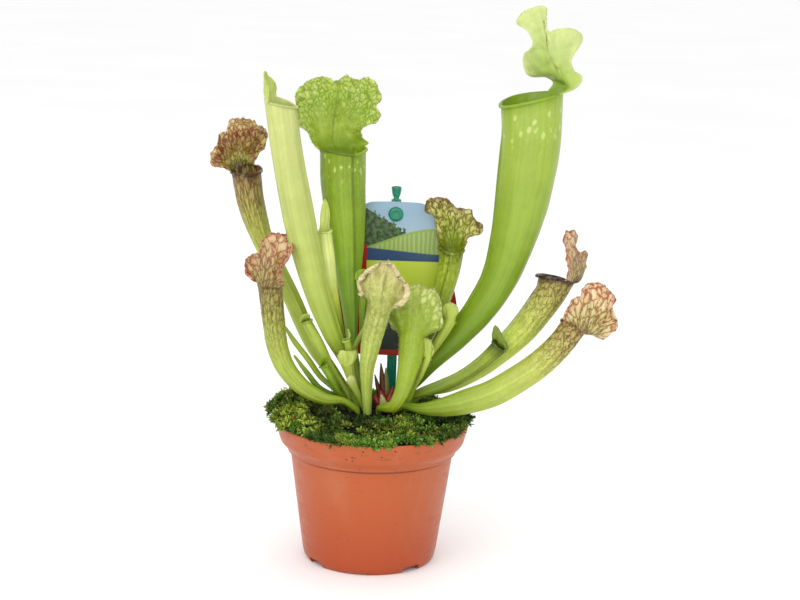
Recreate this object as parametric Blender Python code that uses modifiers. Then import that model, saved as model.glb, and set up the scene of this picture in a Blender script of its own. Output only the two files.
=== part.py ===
"""Potted sarracenia: trumpet pitchers with ruffled hoods in a mossy plastic nursery pot.

Z is up and the pot's foot rests on Z = 0. The side that the label faces is -Y. Lengths in the
tables are millimetres from the pot's axis, and everything is then moved along X together, so
that the origin lies below the middle of the whole plant.
"""
import math
import random
from dataclasses import dataclass

import bmesh
import bpy
from mathutils import Vector, noise

MM = 0.001
COLLECTION = "potted_sarracenia"
CUTTERS = "cutters"
MERGE = 0.00005
SEED = 7
MIDDLE_X = 18.6    # the middle of the whole plant, from the axis of the pot

# Pot: a 120 mm nursery pot with a stepped band under its rim and a notched foot
POT_HEIGHT = 88.0
POT_RIM_RADIUS = 60.0
POT_WALL = 1.3
BAND_RADIUS = 57.6
BAND_HEIGHT = 76.5
STEP_HEIGHT = 68.6
BODY_TOP_RADIUS = 51.0
BODY_FOOT_RADIUS = 42.2
FOOT_RADIUS = 39.4
FOOT_ROUND = 6.0
FLOOR_HEIGHT = 4.5
POT_SIDES = 36
NOTCH_ANGLES = (-144.0, -49.0, 41.0, 131.0)
NOTCH_WIDTH = 13.0
NOTCH_HEIGHT = 3.8
RELIEF_HEIGHT = 0.9
RELIEF_WIDTH = 14.0
DRAIN_RADIUS = 4.0
DRAIN_RING = 27.0

# Soil and moss
SOIL_GAP = 0.35
SOIL_LEVEL = 88.0
CROWN_LEVEL = 95.5
CROWN_RADIUS = 26.0
CROWN_SKIRT = 32.5
HOLE_GAP = 0.35
HOLE_FLOOR = 82.5
HOLE_TOP = 99.0
HOLE_SIDES = 8
MOSS_BED = 88.3
MOSS_INNER = 33.2
MOSS_CREST = 28.0
MOSS_RADIUS = 57.6
MOSS_AROUND = 36
MOSS_ROWS = 6

# Leaves
WALL = 0.9
SMALL_WALL = 0.75
ROOT_LEVEL = 84.0
ROOT_TIP = 1.2

# Label and its peg
LABEL_X = 11.0
LABEL_Y = 31.5
LABEL_THICK = 0.8
LABEL_HALF_OUTLINE = (
    (0.0, 221.5), (17.0, 221.0), (23.5, 216.5), (27.0, 206.0), (33.5, 182.0),
    (38.5, 158.0), (40.0, 140.0), (38.5, 127.5), (34.0, 123.0), (0.0, 122.5),
)
STUD_HEIGHT = 213.5
STUD_RADIUS = 1.7
STUD_HOLE = 2.1
BUTTON_RADIUS = 4.7
BUTTON_THICK = 2.2
PEG_WIDTH = 6.0
PEG_THICK = 2.0
PEG_FOOT = 74.0
PEG_SHOULDER = 222.6
CAP_BOTTOM = 224.5
CAP_TOP = 230.5


@dataclass
class Hood:
    """Lid that grows from the back of a mouth, fanned out from its neck."""

    neck: float          # height of the neck, mm
    top: float           # reach from the neck to the upper edge, mm
    side: float          # reach from the neck to the side edges, mm
    spread: float        # half angle of the fan, degrees
    lean: float = 0.0    # forward lean over the mouth at the neck, degrees
    curl: float = 0.0    # lean gained by the upper edge, degrees
    cup: float = 0.0     # forward bend of the sides, share of their reach
    pinch: float = 0.8   # width of the neck's top, share of its foot
    waves: float = 3.0   # ruffles across the edge
    ruffle: float = 2.0  # depth of a ruffle, mm
    lobe: float = 0.06   # in and out swing of the edge, share of its reach
    swing: float = 0.0   # turn of the whole fan to its right as seen from the front, degrees
    phase: float = 0.0   # where the ruffles start, radians


@dataclass
class Pitcher:
    """Hollow trumpet leaf: a route up its middle, its widths and its hood."""

    name: str
    route: tuple          # x, y, z and width at each point, mm, from the soil to the mouth
    facing: float         # where the mouth looks, degrees round from +X
    hood: Hood
    colour: tuple
    neck_angle: float = 65.0  # half of the mouth that the hood's foot takes, degrees
    tilt: float = -0.15       # rise of the front lip over the middle, share of its radius
    wing: float = 0.2         # height of the keel down the front, share of the radius
    depth: float = 1.0        # size front to back, share of the width
    lip: float = 1.2          # reach of the rolled lip, mm
    front_cells: int = 3
    back_cells: int = 10
    rows: int = 8
    hood_rows: int = 5
    wall: float = WALL


@dataclass
class Blade:
    """Thin solid leaf with a pointed tip."""

    name: str
    route: tuple
    facing: float
    colour: tuple
    depth: float = 0.45
    cells: int = 6
    rows: int = 6


GREEN = (0.36, 0.55, 0.08)
PALE = (0.62, 0.72, 0.25)
VEINED = (0.50, 0.55, 0.20)
BROWN = (0.36, 0.30, 0.12)
DEEP = (0.22, 0.40, 0.06)

PITCHERS = (
    Pitcher("pitcher_far_left",
            ((-9.8, 2, 96.5, 4.4), (-24, 4.5, 115, 7.5), (-38, 8.5, 133, 10),
             (-53, 13, 163, 10.8), (-70, 16, 195, 12.6), (-78.5, 15, 220, 16.6),
             (-82, 14, 241, 18)),
            -62, Hood(2, 29, 19, 80, lean=-6, curl=30, cup=0.15, pinch=0.95, waves=3, ruffle=3.6,
                      lobe=0.09, phase=0.6, swing=-6), BROWN, neck_angle=64, rows=8),
    Pitcher("pitcher_pale_tall",
            ((-8.6, 11, 96.5, 4.6), (-17, 8, 122.5, 7.5), (-25, 1, 142.5, 11.2),
             (-35.5, -5, 172, 15.4), (-46.5, -9, 213.5, 19.3), (-55, -10, 252, 18.8),
             (-60.3, -10, 286, 18.7)),
            -14, Hood(4, 13, 8, 34, lean=3, curl=0, cup=0.25, pinch=0.72, waves=1, ruffle=0.4,
                      lobe=0.0), PALE, neck_angle=58, tilt=-0.3, back_cells=6, hood_rows=4),
    Pitcher("pitcher_middle",
            ((-6.5, 20, 96.5, 4.6), (-14, 20, 130, 6.3), (-15.5, 20, 149, 9.4),
             (-17, 20, 168, 13.8), (-19.5, 20, 202, 23.7), (-22, 19.5, 232, 28.4),
             (-22.7, 19, 253, 28.6)),
            -82, Hood(3, 42, 30, 66, lean=-3, curl=24, cup=0.1, pinch=0.92, waves=4,
                      ruffle=3.2, lobe=0.045, phase=1.2, swing=-5), GREEN, neck_angle=76,
            tilt=-0.2, depth=0.86, back_cells=12),
    Pitcher("pitcher_tall_right",
            ((13.5, 8, 98, 5), (24, 9, 109, 7.5), (36, 8, 124.5, 11.3),
             (52, 6, 141.5, 14.3), (66, 5, 160, 18), (77, 5, 180, 21), (84.5, 5.5, 205, 26.5),
             (89.5, 7, 232, 32.5), (92.5, 8, 262, 36), (92.5, 8, 287, 36.4)),
            -142, Hood(6, 46, 26, 80, lean=2, curl=16, cup=-0.1, pinch=0.85, waves=2.5,
                       ruffle=4.4, lobe=0.1, phase=2.9, swing=-20), GREEN, neck_angle=36,
            tilt=-0.2, depth=1.0, back_cells=12, rows=9),
    Pitcher("pitcher_left_low",
            ((-9, -10, 96.5, 4), (-18, -13, 103.3, 4.4), (-30, -15, 105, 7.4),
             (-44, -15, 112.5, 10.2), (-54, -13.5, 123.5, 11.7), (-59.5, -12, 137, 13),
             (-62, -12, 153, 13.8), (-64.5, -12, 174, 14.8)),
            66, Hood(2, 29, 14, 84, lean=2, curl=44, cup=0.2, pinch=0.95, waves=3, ruffle=3.6,
                     lobe=0.09, phase=0.4, swing=-12), VEINED, neck_angle=72, rows=8),
    Pitcher("pitcher_front",
            ((-3, -14, 96.5, 5), (-3.8, -14.5, 112, 6.8), (-3.8, -16, 125.5, 8.9),
             (-1.9, -18.5, 140.5, 11.9), (0.9, -21, 155.5, 13.7), (3.3, -22, 164.5, 13.6)),
            84, Hood(1, 25, 14, 82, lean=2, curl=44, cup=0.15, pinch=1.0, waves=3, ruffle=3.0,
                     lobe=0.08, phase=1.0, swing=-14), PALE, neck_angle=76, rows=7),
    Pitcher("pitcher_front_right",
            ((4, -10, 98.2, 4.3), (8, -19, 101.5, 6.1), (13.3, -25, 104.5, 7.6),
             (17.6, -24.5, 112.5, 9.3), (20.6, -20, 123.5, 12.2), (22.8, -14.5, 134.5, 15.8),
             (23.6, -10.5, 144.5, 17)),
            74, Hood(1, 28, 15, 80, lean=6, curl=44, cup=0.15, pinch=1.0, waves=3,
                     ruffle=2.8, lobe=0.06, phase=0.2, swing=-10), GREEN, neck_angle=76, rows=8),
    Pitcher("pitcher_behind",
            ((14.3, 17.5, 96.5, 4.6), (22.5, 19, 118, 7.6), (32, 19, 139, 10.7),
             (39, 18.5, 158.5, 12.6), (43, 17.5, 174, 13.8), (45.4, 17, 185.5, 14.4),
             (46.2, 16.5, 195, 15.3)),
            -98, Hood(3, 26, 20, 72, lean=0, curl=30, cup=0.12, pinch=1.0, waves=3,
                      ruffle=3.2, lobe=0.1, phase=2.6, swing=4), VEINED, neck_angle=80, rows=7),
    Pitcher("pitcher_right_rosy",
            ((20.5, 3, 97.6, 4.4), (30, 1, 106, 5.5), (48, 0, 112, 7.5),
             (65, 0, 122, 9.9), (77.5, 0, 133, 12.4), (90.5, 0, 146.5, 14.9),
             (100, 0, 159.5, 16.1), (107, 0, 170.5, 17.3), (111.5, 0, 181, 19.5)),
            152, Hood(3, 27, 14, 76, lean=24, curl=16, cup=0.15, pinch=0.85, waves=3,
                      ruffle=3.2, lobe=0.1, phase=0.9), VEINED, neck_angle=60, tilt=-0.3,
            depth=1.1),
    Pitcher("pitcher_right_low",
            ((13.5, -11, 97.4, 3.8), (19.5, -13, 101, 4.2),
             (30, -17, 100.8, 7), (43.5, -20, 103, 11.7), (57, -22, 107.2, 15.3),
             (72, -23, 112.8, 16.5), (87, -22, 121.5, 16.8), (102, -20, 132.5, 16.5),
             (113.5, -18, 144, 15.9), (121.5, -16.5, 155, 15.9)),
            118, Hood(1, 28, 15, 82, lean=4, curl=44, cup=0.15, pinch=1.0, waves=3,
                      ruffle=3.4, lobe=0.08, phase=1.7, swing=4), VEINED, neck_angle=76,
            rows=9),
    Pitcher("pitcher_right_small",
            ((17.5, -4, 97.4, 3.6), (22, -4.5, 103.5, 3.8),
             (30, -7, 108.3, 5.6), (42, -9, 113.5, 7.4), (54, -11, 120, 7.6),
             (67, -13, 130, 8.2), (77, -14.5, 141, 9.8)),
            -168, Hood(2, 13, 7, 34, lean=34, curl=6, cup=0.15, pinch=0.7, waves=1,
                       ruffle=0.3, lobe=0.0), DEEP, neck_angle=52, tilt=-0.5, front_cells=2,
            back_cells=4, hood_rows=3, lip=0.9, wall=SMALL_WALL),
    Pitcher("young_pitcher_back",
            ((-11.2, 16.2, 96.5, 3), (-17.3, 14.4, 121.5, 3.8),
             (-22.3, 10, 142.5, 5.6), (-27.3, 5.5, 168, 7.4), (-29.2, 3.5, 186, 8),
             (-32, 2, 206, 7.8)),
            -10, Hood(2, 14, 8, 44, lean=2, curl=0, cup=0.1, pinch=0.8, waves=1, ruffle=0.4,
                      lobe=0.0), PALE, neck_angle=56, tilt=-0.3, front_cells=2, back_cells=4,
            rows=6, hood_rows=3, lip=0.8, wall=SMALL_WALL),
    Pitcher("young_pitcher_left",
            ((-13.5, -2.5, 96, 3), (-16.5, -2.5, 106, 3.4),
             (-25.8, -1.8, 120.2, 5), (-34.8, -0.5, 135.9, 7.4), (-42.5, 0, 150, 6.4)),
            -30, Hood(1, 8, 6, 50, lean=10, curl=25, cup=0.1, pinch=0.8, waves=1, ruffle=0.3,
                      lobe=0.0), PALE, neck_angle=56, front_cells=2, back_cells=4,
            rows=5, hood_rows=2, lip=0.6, wall=SMALL_WALL),
    Pitcher("young_pitcher_low_left",
            ((-13.6, -7.2, 96, 2.8), (-17.9, -8.6, 103.6, 3),
             (-21, -9.3, 108, 3.8), (-26.1, -10, 117.2, 5), (-31, -10.5, 125, 5)),
            -60, Hood(1, 7, 5.5, 48, lean=5, curl=20, cup=0.1, pinch=0.8, waves=1, ruffle=0.3,
                      lobe=0.0), PALE, neck_angle=56, front_cells=2, back_cells=4,
            rows=5, hood_rows=2, lip=0.6, wall=SMALL_WALL),
    Pitcher("young_pitcher_centre",
            ((-3, 3, 96, 2.6), (-8, 0, 108, 3), (-11.5, -2, 118, 3.4),
             (-14.6, -4, 131, 3.9), (-16.8, -5.5, 140, 4.6)),
            -70, Hood(1, 6, 5, 50, lean=0, curl=20, cup=0.1, pinch=0.8, waves=1, ruffle=0.3,
                      lobe=0.0), PALE, neck_angle=56, front_cells=2, back_cells=4,
            rows=5, hood_rows=2, lip=0.6, wall=SMALL_WALL),
    Pitcher("young_pitcher_broad",
            ((-5.5, -3.3, 96, 3.2), (-10, -7, 106.8, 3.8),
             (-14.4, -10.5, 119.8, 5.6), (-16.2, -12, 127, 6.4)),
            -86, Hood(1, 9, 8, 64, lean=-6, curl=20, cup=-0.05, pinch=0.85, waves=2,
                      ruffle=0.7, lobe=0.05), GREEN, neck_angle=60, front_cells=2,
            back_cells=6, rows=5, hood_rows=3, lip=0.6, wall=SMALL_WALL),
    Pitcher("young_pitcher_green",
            ((-3, 14, 96.5, 3), (-7, 12, 130, 3.9), (-8, 10, 155, 4.4), (-7, 8, 171, 5.6)),
            -60, Hood(1, 9, 7, 62, lean=0, curl=30, cup=-0.05, pinch=0.85, waves=2,
                      ruffle=0.7, lobe=0.05), DEEP, neck_angle=60, front_cells=2,
            back_cells=6, rows=6, hood_rows=3, lip=0.6, wall=SMALL_WALL),
    Pitcher("young_pitcher_right",
            ((12.5, 2, 96.5, 2.8), (17, 0.5, 106, 3), (24, -1, 118, 3.6),
             (34, -3, 132, 4.8), (42, -3.5, 145, 6.4), (46, -4, 154, 8.4)),
            -100, Hood(1, 9, 9, 70, lean=40, curl=40, cup=0.15, pinch=0.95, waves=1,
                       ruffle=0.3, lobe=0.0), GREEN, neck_angle=70, front_cells=2,
            back_cells=6, rows=6, hood_rows=3, lip=0.6, wall=SMALL_WALL),
    Pitcher("young_pitcher_ruffled",
            ((20, -8, 96.5, 2.6), (25, -12.5, 109, 2.8), (32, -18.5, 122, 3.6), (37, -20.5, 132, 5)),
            80, Hood(1, 10, 8, 80, lean=5, curl=20, cup=-0.1, pinch=0.9, waves=2.5,
                     ruffle=1.0, lobe=0.08), PALE, neck_angle=62, front_cells=2,
            back_cells=6, rows=5, hood_rows=3, lip=0.6, wall=SMALL_WALL),
)

BLADES = (
    Blade("thin_leaf_left_outer",
          ((-16.5, 1.5, 96, 2.8), (-21, 1.5, 104, 3), (-33, 2, 114.5, 3.6),
           (-41, 2, 125.5, 3.8), (-50, 2, 137, 3.4), (-55.5, 2, 145.5, 1.6)), -60, PALE),
    Blade("thin_leaf_left_inner",
          ((-17.9, -4.2, 96, 2.6), (-22, -5.5, 103, 3),
           (-33, -7, 109.5, 3.6), (-40.5, -7, 118.2, 3.4), (-49, -7, 129.5, 1.6)), -60, GREEN),
    Blade("thin_leaf_centre",
          ((-5.5, 7, 96, 2.4), (-8, 5.5, 108, 2.6), (-10.5, 4, 118, 2.8),
           (-13, 3, 131, 3.2), (-9.6, 3, 140, 2.8), (-6, 3, 148, 1.4)), -80, PALE),
    Blade("small_leaf_front",
          ((-4.8, -7.9, 96, 2.2), (-8.2, -12, 107, 3),
           (-11.5, -13.4, 112.5, 3.4), (-15, -13.8, 114.5, 1.6)), -80, PALE),
)

# New shoots at the crown: foot and tip of each, width at the foot, depth share
SHOOTS = (
    ((7.6, -2.6, 95.0), (6.2, -4.2, 123.5), 2.6, 0.8),
    ((7.2, -2.2, 95.0), (2.6, -3.0, 115.5), 2.6, 0.8),
    ((8.4, -2.2, 95.0), (9.0, -3.2, 119.0), 2.6, 0.7),
    ((7.4, -2.8, 95.0), (2.6, -5.6, 106.0), 4.2, 0.5),
    ((8.1, -3.0, 95.0), (7.6, -7.0, 105.0), 4.2, 0.5),
    ((8.7, -2.5, 95.0), (13.4, -4.4, 106.5), 4.2, 0.5),
    ((7.8, -2.0, 95.0), (6.4, 1.2, 108.0), 4.0, 0.5),
)
SHOOT_BASE = (8.0, -2.4, 92.0)
SHOOT_BASE_RADIUS = 3.5
SHOOT_BASE_HEIGHT = 7.0


def material(name, colour, roughness):
    """Give a plain coated material in a linear colour."""
    made = bpy.data.materials.new(name)
    made.use_nodes = True
    shader = made.node_tree.nodes["Principled BSDF"]
    shader.inputs["Base Color"].default_value = (*colour, 1.0)
    shader.inputs["Roughness"].default_value = roughness
    shader.inputs["Metallic"].default_value = 0.0
    return made


def new_object(name, mesh, home, finish=None):
    """Put a mesh in a collection as one object."""
    made = bpy.data.objects.new(name, mesh)
    home.objects.link(made)
    if finish:
        mesh.materials.append(finish)
    return made


def mesh_object(name, bm, home, finish=None, smooth=True):
    """Turn a bmesh into an object and free it."""
    mesh = bpy.data.meshes.new(name)
    bm.to_mesh(mesh)
    bm.free()
    if smooth:
        mesh.shade_smooth()
    return new_object(name, mesh, home, finish)


def make_cutter(made):
    """Mark an object as a cutter that isn't part of the model."""
    made.hide_render = True
    made.display_type = "WIRE"
    return made


def turned(name, profile, sides, home, finish):
    """Turn a profile of radii and heights about the Z axis."""
    mesh = bpy.data.meshes.new(name)
    points = [(r * MM, 0.0, z * MM) for r, z in profile]
    edges = [(i, i + 1) for i in range(len(points) - 1)]
    mesh.from_pydata(points, edges, [])
    made = new_object(name, mesh, home, finish)
    screw = made.modifiers.new("turn", "SCREW")
    screw.steps = sides
    screw.render_steps = sides
    screw.use_merge_vertices = True
    screw.merge_threshold = MERGE
    screw.use_smooth_shade = True
    return made


def applied(made):
    """Replace an object's mesh by what its modifiers make of it."""
    graph = bpy.context.evaluated_depsgraph_get()
    graph.update()
    mesh = bpy.data.meshes.new_from_object(made.evaluated_get(graph))
    made.modifiers.clear()
    made.data = mesh
    return made


def boolean(made, operation, other):
    """Cut an object by an object or a collection, or join it with one."""
    step = made.modifiers.new(operation.lower(), "BOOLEAN")
    step.operation = operation
    step.solver = "EXACT"
    if isinstance(other, bpy.types.Collection):
        step.operand_type = "COLLECTION"
        step.collection = other
    else:
        step.object = other


def smooth(low, high, value):
    """Ease from 0 at low to 1 at high."""
    share = min(max((value - low) / (high - low), 0.0), 1.0)
    return share * share * (3 - 2 * share)


def spline(points, share):
    """Give the point at a share of the way along a smooth curve through the points."""
    last = len(points) - 1
    along = share * last
    i = min(max(math.floor(along), 0), last - 1)
    u = along - i
    b = points[i]
    c = points[i + 1]
    a = points[i - 1] if i else 2 * b - c
    d = points[i + 2] if i + 2 <= last else 2 * c - b
    span = (c - b).length
    leave = (c - a) * span / (span + (b - a).length)
    arrive = (d - b) * span / (span + (d - c).length)
    return ((2 * u ** 3 - 3 * u ** 2 + 1) * b + (u ** 3 - 2 * u ** 2 + u) * leave
            + (3 * u ** 2 - 2 * u ** 3) * c + (u ** 3 - u ** 2) * arrive)


def stations(route, facing, rows):
    """Give centre, radius, along, front and side at each ring of a leaf, root first.

    The first ring is the foot of the root, straight below the second, which is at the soil.
    """
    points = [Vector(p) for p in route]
    shares = [i / (rows - 1) for i in range(rows)]
    step = 0.01
    samples = [spline(points, share) for share in shares]
    aims = []
    for share in shares:
        ahead = spline(points, share + step)
        behind = spline(points, share - step)
        aims.append((ahead - behind).to_3d().normalized())
    root = points[0].copy()
    root.z = ROOT_LEVEL
    samples.insert(0, root)
    aims.insert(0, Vector((0.0, 0.0, 1.0)))
    angle = math.radians(facing)
    front = Vector((math.cos(angle), math.sin(angle), 0.0))
    rings = []
    for sample, aim in zip(reversed(samples), reversed(aims)):
        front = (front - front.dot(aim) * aim).normalized()
        rings.append((sample.to_3d(), sample.w / 2, aim, front.copy(), aim.cross(front)))
    return rings[::-1]


def column_angles(pitcher):
    """Give the angle of each column round a pitcher, closer together at the neck."""
    neck = math.radians(pitcher.neck_angle)
    front = pitcher.front_cells
    back = pitcher.back_cells
    right = [(math.pi - neck) * i / front for i in range(front)]
    middle = [math.pi - neck + 2 * neck * i / back for i in range(back)]
    left = [math.pi + neck + (math.pi - neck) * i / front for i in range(front + 1)]
    return right + middle + left


def ring_point(pitcher, ring, angle, share, out=0.0, up=0.0):
    """Give a point on a pitcher's wall, at an angle from the front and a share of its length."""
    centre, radius, aim, front, side = ring
    keel = max(math.cos(angle), 0.0) ** 24
    keel *= pitcher.wing * smooth(0.1, 0.45, share) * (1 - smooth(0.8, 1.0, share))
    reach = radius * (1 + keel) + out
    rise = pitcher.tilt * radius * smooth(0.75, 1.0, share) * math.cos(angle) + up
    return (centre + front * reach * pitcher.depth * math.cos(angle)
            + side * reach * math.sin(angle) + aim * rise)


def grid(bm, columns, rows, place):
    """Add a grid of cells and put each vertex where place(column, row) says."""
    made = bmesh.ops.create_grid(bm, x_segments=columns, y_segments=rows, size=0.5)
    for vertex in made["verts"]:
        column = round((vertex.co.x + 0.5) * columns)
        row = round((vertex.co.y + 0.5) * rows)
        vertex.co = place(column, row) * MM


def hood_point(pitcher, ring, angle, across, row):
    """Give a point of the hood: across from 1 to -1, row from 0 at the mouth."""
    hood = pitcher.hood
    centre, radius, aim, front, side = ring
    foot = ring_point(pitcher, ring, angle, 1.0)
    rear = ring_point(pitcher, ring, math.pi, 1.0)
    offset = foot - rear
    foot_x = offset.dot(side)
    foot_y = offset.dot(aim)
    foot_n = offset.dot(front)
    if row == 0:
        return foot
    fan = (row - 1) / (pitcher.hood_rows - 1) if pitcher.hood_rows > 1 else 1.0
    turn = math.radians(hood.spread * across + hood.swing * (1 - abs(across)))
    reach = hood.top + (hood.side - hood.top) * abs(across) ** 1.6
    reach *= 1 + hood.lobe * math.cos(math.tau * hood.waves * across / 2 + hood.phase)
    x = foot_x * hood.pinch * (1 - fan) + reach * fan * math.sin(turn)
    y = hood.neck + foot_y * (1 - fan) + reach * fan * math.cos(turn)
    bend = math.radians(hood.lean + hood.curl * y / (hood.neck + hood.top) / 2)
    ruffle = hood.ruffle * fan ** 2 * math.sin(math.tau * hood.waves * across / 2 + hood.phase)
    ruffle *= smooth(0.05, 0.5, abs(across)) * 0.7 + 0.3
    depth = foot_n * (1 - fan) ** 1.5 + hood.cup * abs(across) ** 2 * reach * fan + ruffle
    up = aim * math.cos(bend) + front * math.sin(bend)
    out = front * math.cos(bend) - aim * math.sin(bend)
    return rear + side * x + up * y + out * depth


def build_pitcher(pitcher, home):
    """Build one hollow pitcher: trumpet, rolled lip and hood as one skin with a wall."""
    rows = pitcher.rows
    rings = stations(pitcher.route, pitcher.facing, rows)
    angles = column_angles(pitcher)
    columns = len(angles) - 1
    first = pitcher.front_cells
    mouth = rings[-1]
    tip = rings[0][0] - Vector((0.0, 0.0, ROOT_TIP))

    def wall(column, row):
        if row == 0:
            return tip
        return ring_point(pitcher, rings[row - 1], angles[column], (row - 1) / rows)

    def lip(column, row):
        turn = (column - first) / first * (math.pi - math.radians(pitcher.neck_angle))
        out = (0.0, 0.75, 1.25)[row] * pitcher.lip
        up = (0.0, 0.35, -0.2)[row] * pitcher.lip
        return ring_point(pitcher, mouth, turn, 1.0, out, up)

    def lid(column, row):
        across = 1 - 2 * column / pitcher.back_cells
        return hood_point(pitcher, mouth, angles[first + column], across, row)

    bm = bmesh.new()
    grid(bm, columns, rows + 1, wall)
    grid(bm, 2 * first, 2, lip)
    grid(bm, pitcher.back_cells, pitcher.hood_rows, lid)
    bmesh.ops.remove_doubles(bm, verts=bm.verts[:], dist=MERGE)
    bmesh.ops.triangulate(bm, faces=bm.faces[:])
    bmesh.ops.recalc_face_normals(bm, faces=bm.faces[:])
    made = mesh_object(pitcher.name, bm, home, material(pitcher.name, pitcher.colour, 0.45))
    skin = made.modifiers.new("wall", "SOLIDIFY")
    skin.thickness = pitcher.wall * MM
    skin.offset = -1.0
    skin.use_even_offset = False
    return made


def build_blade(blade, home):
    """Build one thin solid leaf, closed at both ends."""
    rows = blade.rows
    rings = stations(blade.route, blade.facing, rows)

    def place(column, row):
        if row == 0:
            return rings[0][0]
        if row == rows + 2:
            return rings[-1][0] + rings[-1][2] * rings[-1][1]
        centre, radius, aim, front, side = rings[row - 1]
        turn = math.tau * column / blade.cells
        return (centre + front * radius * blade.depth * math.cos(turn)
                + side * radius * math.sin(turn))

    bm = bmesh.new()
    grid(bm, blade.cells, rows + 2, place)
    bmesh.ops.remove_doubles(bm, verts=bm.verts[:], dist=MERGE)
    bmesh.ops.triangulate(bm, faces=bm.faces[:])
    bmesh.ops.recalc_face_normals(bm, faces=bm.faces[:])
    return mesh_object(blade.name, bm, home, material(blade.name, blade.colour, 0.45))


def pot_outer():
    """Give the pot's outer profile, rim first."""
    return [
        (POT_RIM_RADIUS - 0.5, POT_HEIGHT),
        (POT_RIM_RADIUS, POT_HEIGHT - 0.6),
        (POT_RIM_RADIUS - 0.3, POT_HEIGHT - 3.0),
        (BAND_RADIUS, BAND_HEIGHT),
        (BAND_RADIUS - 1.3, BAND_HEIGHT - 2.2),
        (BODY_TOP_RADIUS + 1.9, STEP_HEIGHT + 2.6),
        (BODY_TOP_RADIUS + 1.3, STEP_HEIGHT + 0.5),
        (BODY_TOP_RADIUS, STEP_HEIGHT - 0.3),
        (BODY_FOOT_RADIUS, FOOT_ROUND + 1.0),
        (BODY_FOOT_RADIUS - 0.9, 3.0),
        (FOOT_RADIUS + 0.5, 0.6),
        (FOOT_RADIUS, 0.0),
    ]


def pot_inner():
    """Give the pot's inner profile, floor edge first."""
    return [
        (BODY_FOOT_RADIUS - POT_WALL - 1.6, FLOOR_HEIGHT),
        (BODY_FOOT_RADIUS - POT_WALL, FLOOR_HEIGHT + 3.5),
        (BODY_TOP_RADIUS - POT_WALL, STEP_HEIGHT),
        (BODY_TOP_RADIUS + 0.4, STEP_HEIGHT + 3.4),
        (BAND_RADIUS - POT_WALL, BAND_HEIGHT + 0.6),
        (POT_RIM_RADIUS - POT_WALL - 0.3, POT_HEIGHT - 3.0),
        (POT_RIM_RADIUS - POT_WALL, POT_HEIGHT),
    ]


def foot_cutter(name, angle, width, height, inner, home):
    """Make a box that crosses the pot's foot ring at an angle, up to a height."""
    bm = bmesh.new()
    bmesh.ops.create_cube(bm, size=1.0)
    made = make_cutter(mesh_object(name, bm, home, smooth=False))
    outer = BODY_FOOT_RADIUS + 4.0
    middle = (inner + outer) / 2
    turn = math.radians(angle)
    made.scale = ((outer - inner) * MM, width * MM, 2 * height * MM)
    made.location = (middle * math.cos(turn) * MM, middle * math.sin(turn) * MM, 0.0)
    made.rotation_euler = (0.0, 0.0, turn)
    return made


def build_pot(home, cutters):
    """Build the pot: turned shell, notches and flats in its foot, drain holes in its floor."""
    skirt = [
        (FOOT_RADIUS - POT_WALL - 0.6, 0.0),
        (FOOT_RADIUS - POT_WALL - 0.8, FLOOR_HEIGHT - POT_WALL),
        (0.0, FLOOR_HEIGHT - POT_WALL),
    ]
    profile = [(0.0, FLOOR_HEIGHT)] + pot_inner() + pot_outer() + skirt
    pot = turned("pot", profile, POT_SIDES, home, material("pot", (0.56, 0.13, 0.045), 0.42))
    pot = applied(pot)
    bites = bpy.data.collections.new("pot_cuts")
    cutters.children.link(bites)
    for index, angle in enumerate(NOTCH_ANGLES):
        inner = FOOT_RADIUS - 6.0
        foot_cutter(f"notch_{index}", angle, NOTCH_WIDTH, NOTCH_HEIGHT, inner, bites)
        foot_cutter(f"flat_{index}", angle + 45.0, RELIEF_WIDTH, RELIEF_HEIGHT, inner, bites)
        turn = math.radians(angle + 45.0)
        bm = bmesh.new()
        bmesh.ops.create_cone(bm, cap_ends=True, segments=16, radius1=DRAIN_RADIUS * MM,
                              radius2=DRAIN_RADIUS * MM, depth=6 * MM)
        hole = make_cutter(mesh_object(f"drain_{index}", bm, bites))
        hole.location = (DRAIN_RING * math.cos(turn) * MM, DRAIN_RING * math.sin(turn) * MM,
                         FLOOR_HEIGHT * MM)
    boolean(pot, "DIFFERENCE", bites)
    pot.data.set_sharp_from_angle(angle=math.radians(35))
    return pot


def soil_profile():
    """Give the soil's profile: a raised crown, a level bed, then down inside the pot."""
    side = [(r - SOIL_GAP, z) for r, z in reversed(pot_inner()) if z < POT_HEIGHT - 1]
    top = [
        (0.0, CROWN_LEVEL), (8.0, CROWN_LEVEL), (17.0, CROWN_LEVEL - 0.1),
        (CROWN_RADIUS, CROWN_LEVEL - 0.8), (CROWN_SKIRT - 2.5, SOIL_LEVEL + 2.6),
        (CROWN_SKIRT, SOIL_LEVEL), (46.0, SOIL_LEVEL),
        (POT_RIM_RADIUS - POT_WALL - SOIL_GAP, SOIL_LEVEL),
    ]
    floor = FLOOR_HEIGHT + SOIL_GAP
    side[-1] = (side[-1][0], floor)
    return top + side + [(0.0, floor)]


def root_cutter(name, x, y, radius, home):
    """Make an upright round cutter for the hole that a root stands in."""
    inside = (radius + HOLE_GAP) / math.cos(math.pi / HOLE_SIDES)
    bm = bmesh.new()
    bmesh.ops.create_cone(bm, cap_ends=True, segments=HOLE_SIDES, radius1=inside * MM,
                          radius2=inside * MM, depth=(HOLE_TOP - HOLE_FLOOR) * MM)
    made = make_cutter(mesh_object(name, bm, home))
    made.location = (x * MM, y * MM, (HOLE_TOP + HOLE_FLOOR) / 2 * MM)
    return made


def peg_cutter(name, home, gap):
    """Make the slot that the label's peg stands in."""
    bm = bmesh.new()
    bmesh.ops.create_cube(bm, size=1.0)
    made = make_cutter(mesh_object(name, bm, home, smooth=False))
    low = PEG_FOOT - 1.0
    high = 125.0
    made.scale = ((PEG_WIDTH + 2 * gap) * MM, (PEG_THICK + 2 * gap) * MM, (high - low) * MM)
    made.location = (LABEL_X * MM, peg_middle() * MM, (low + high) / 2 * MM)
    return made


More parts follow.
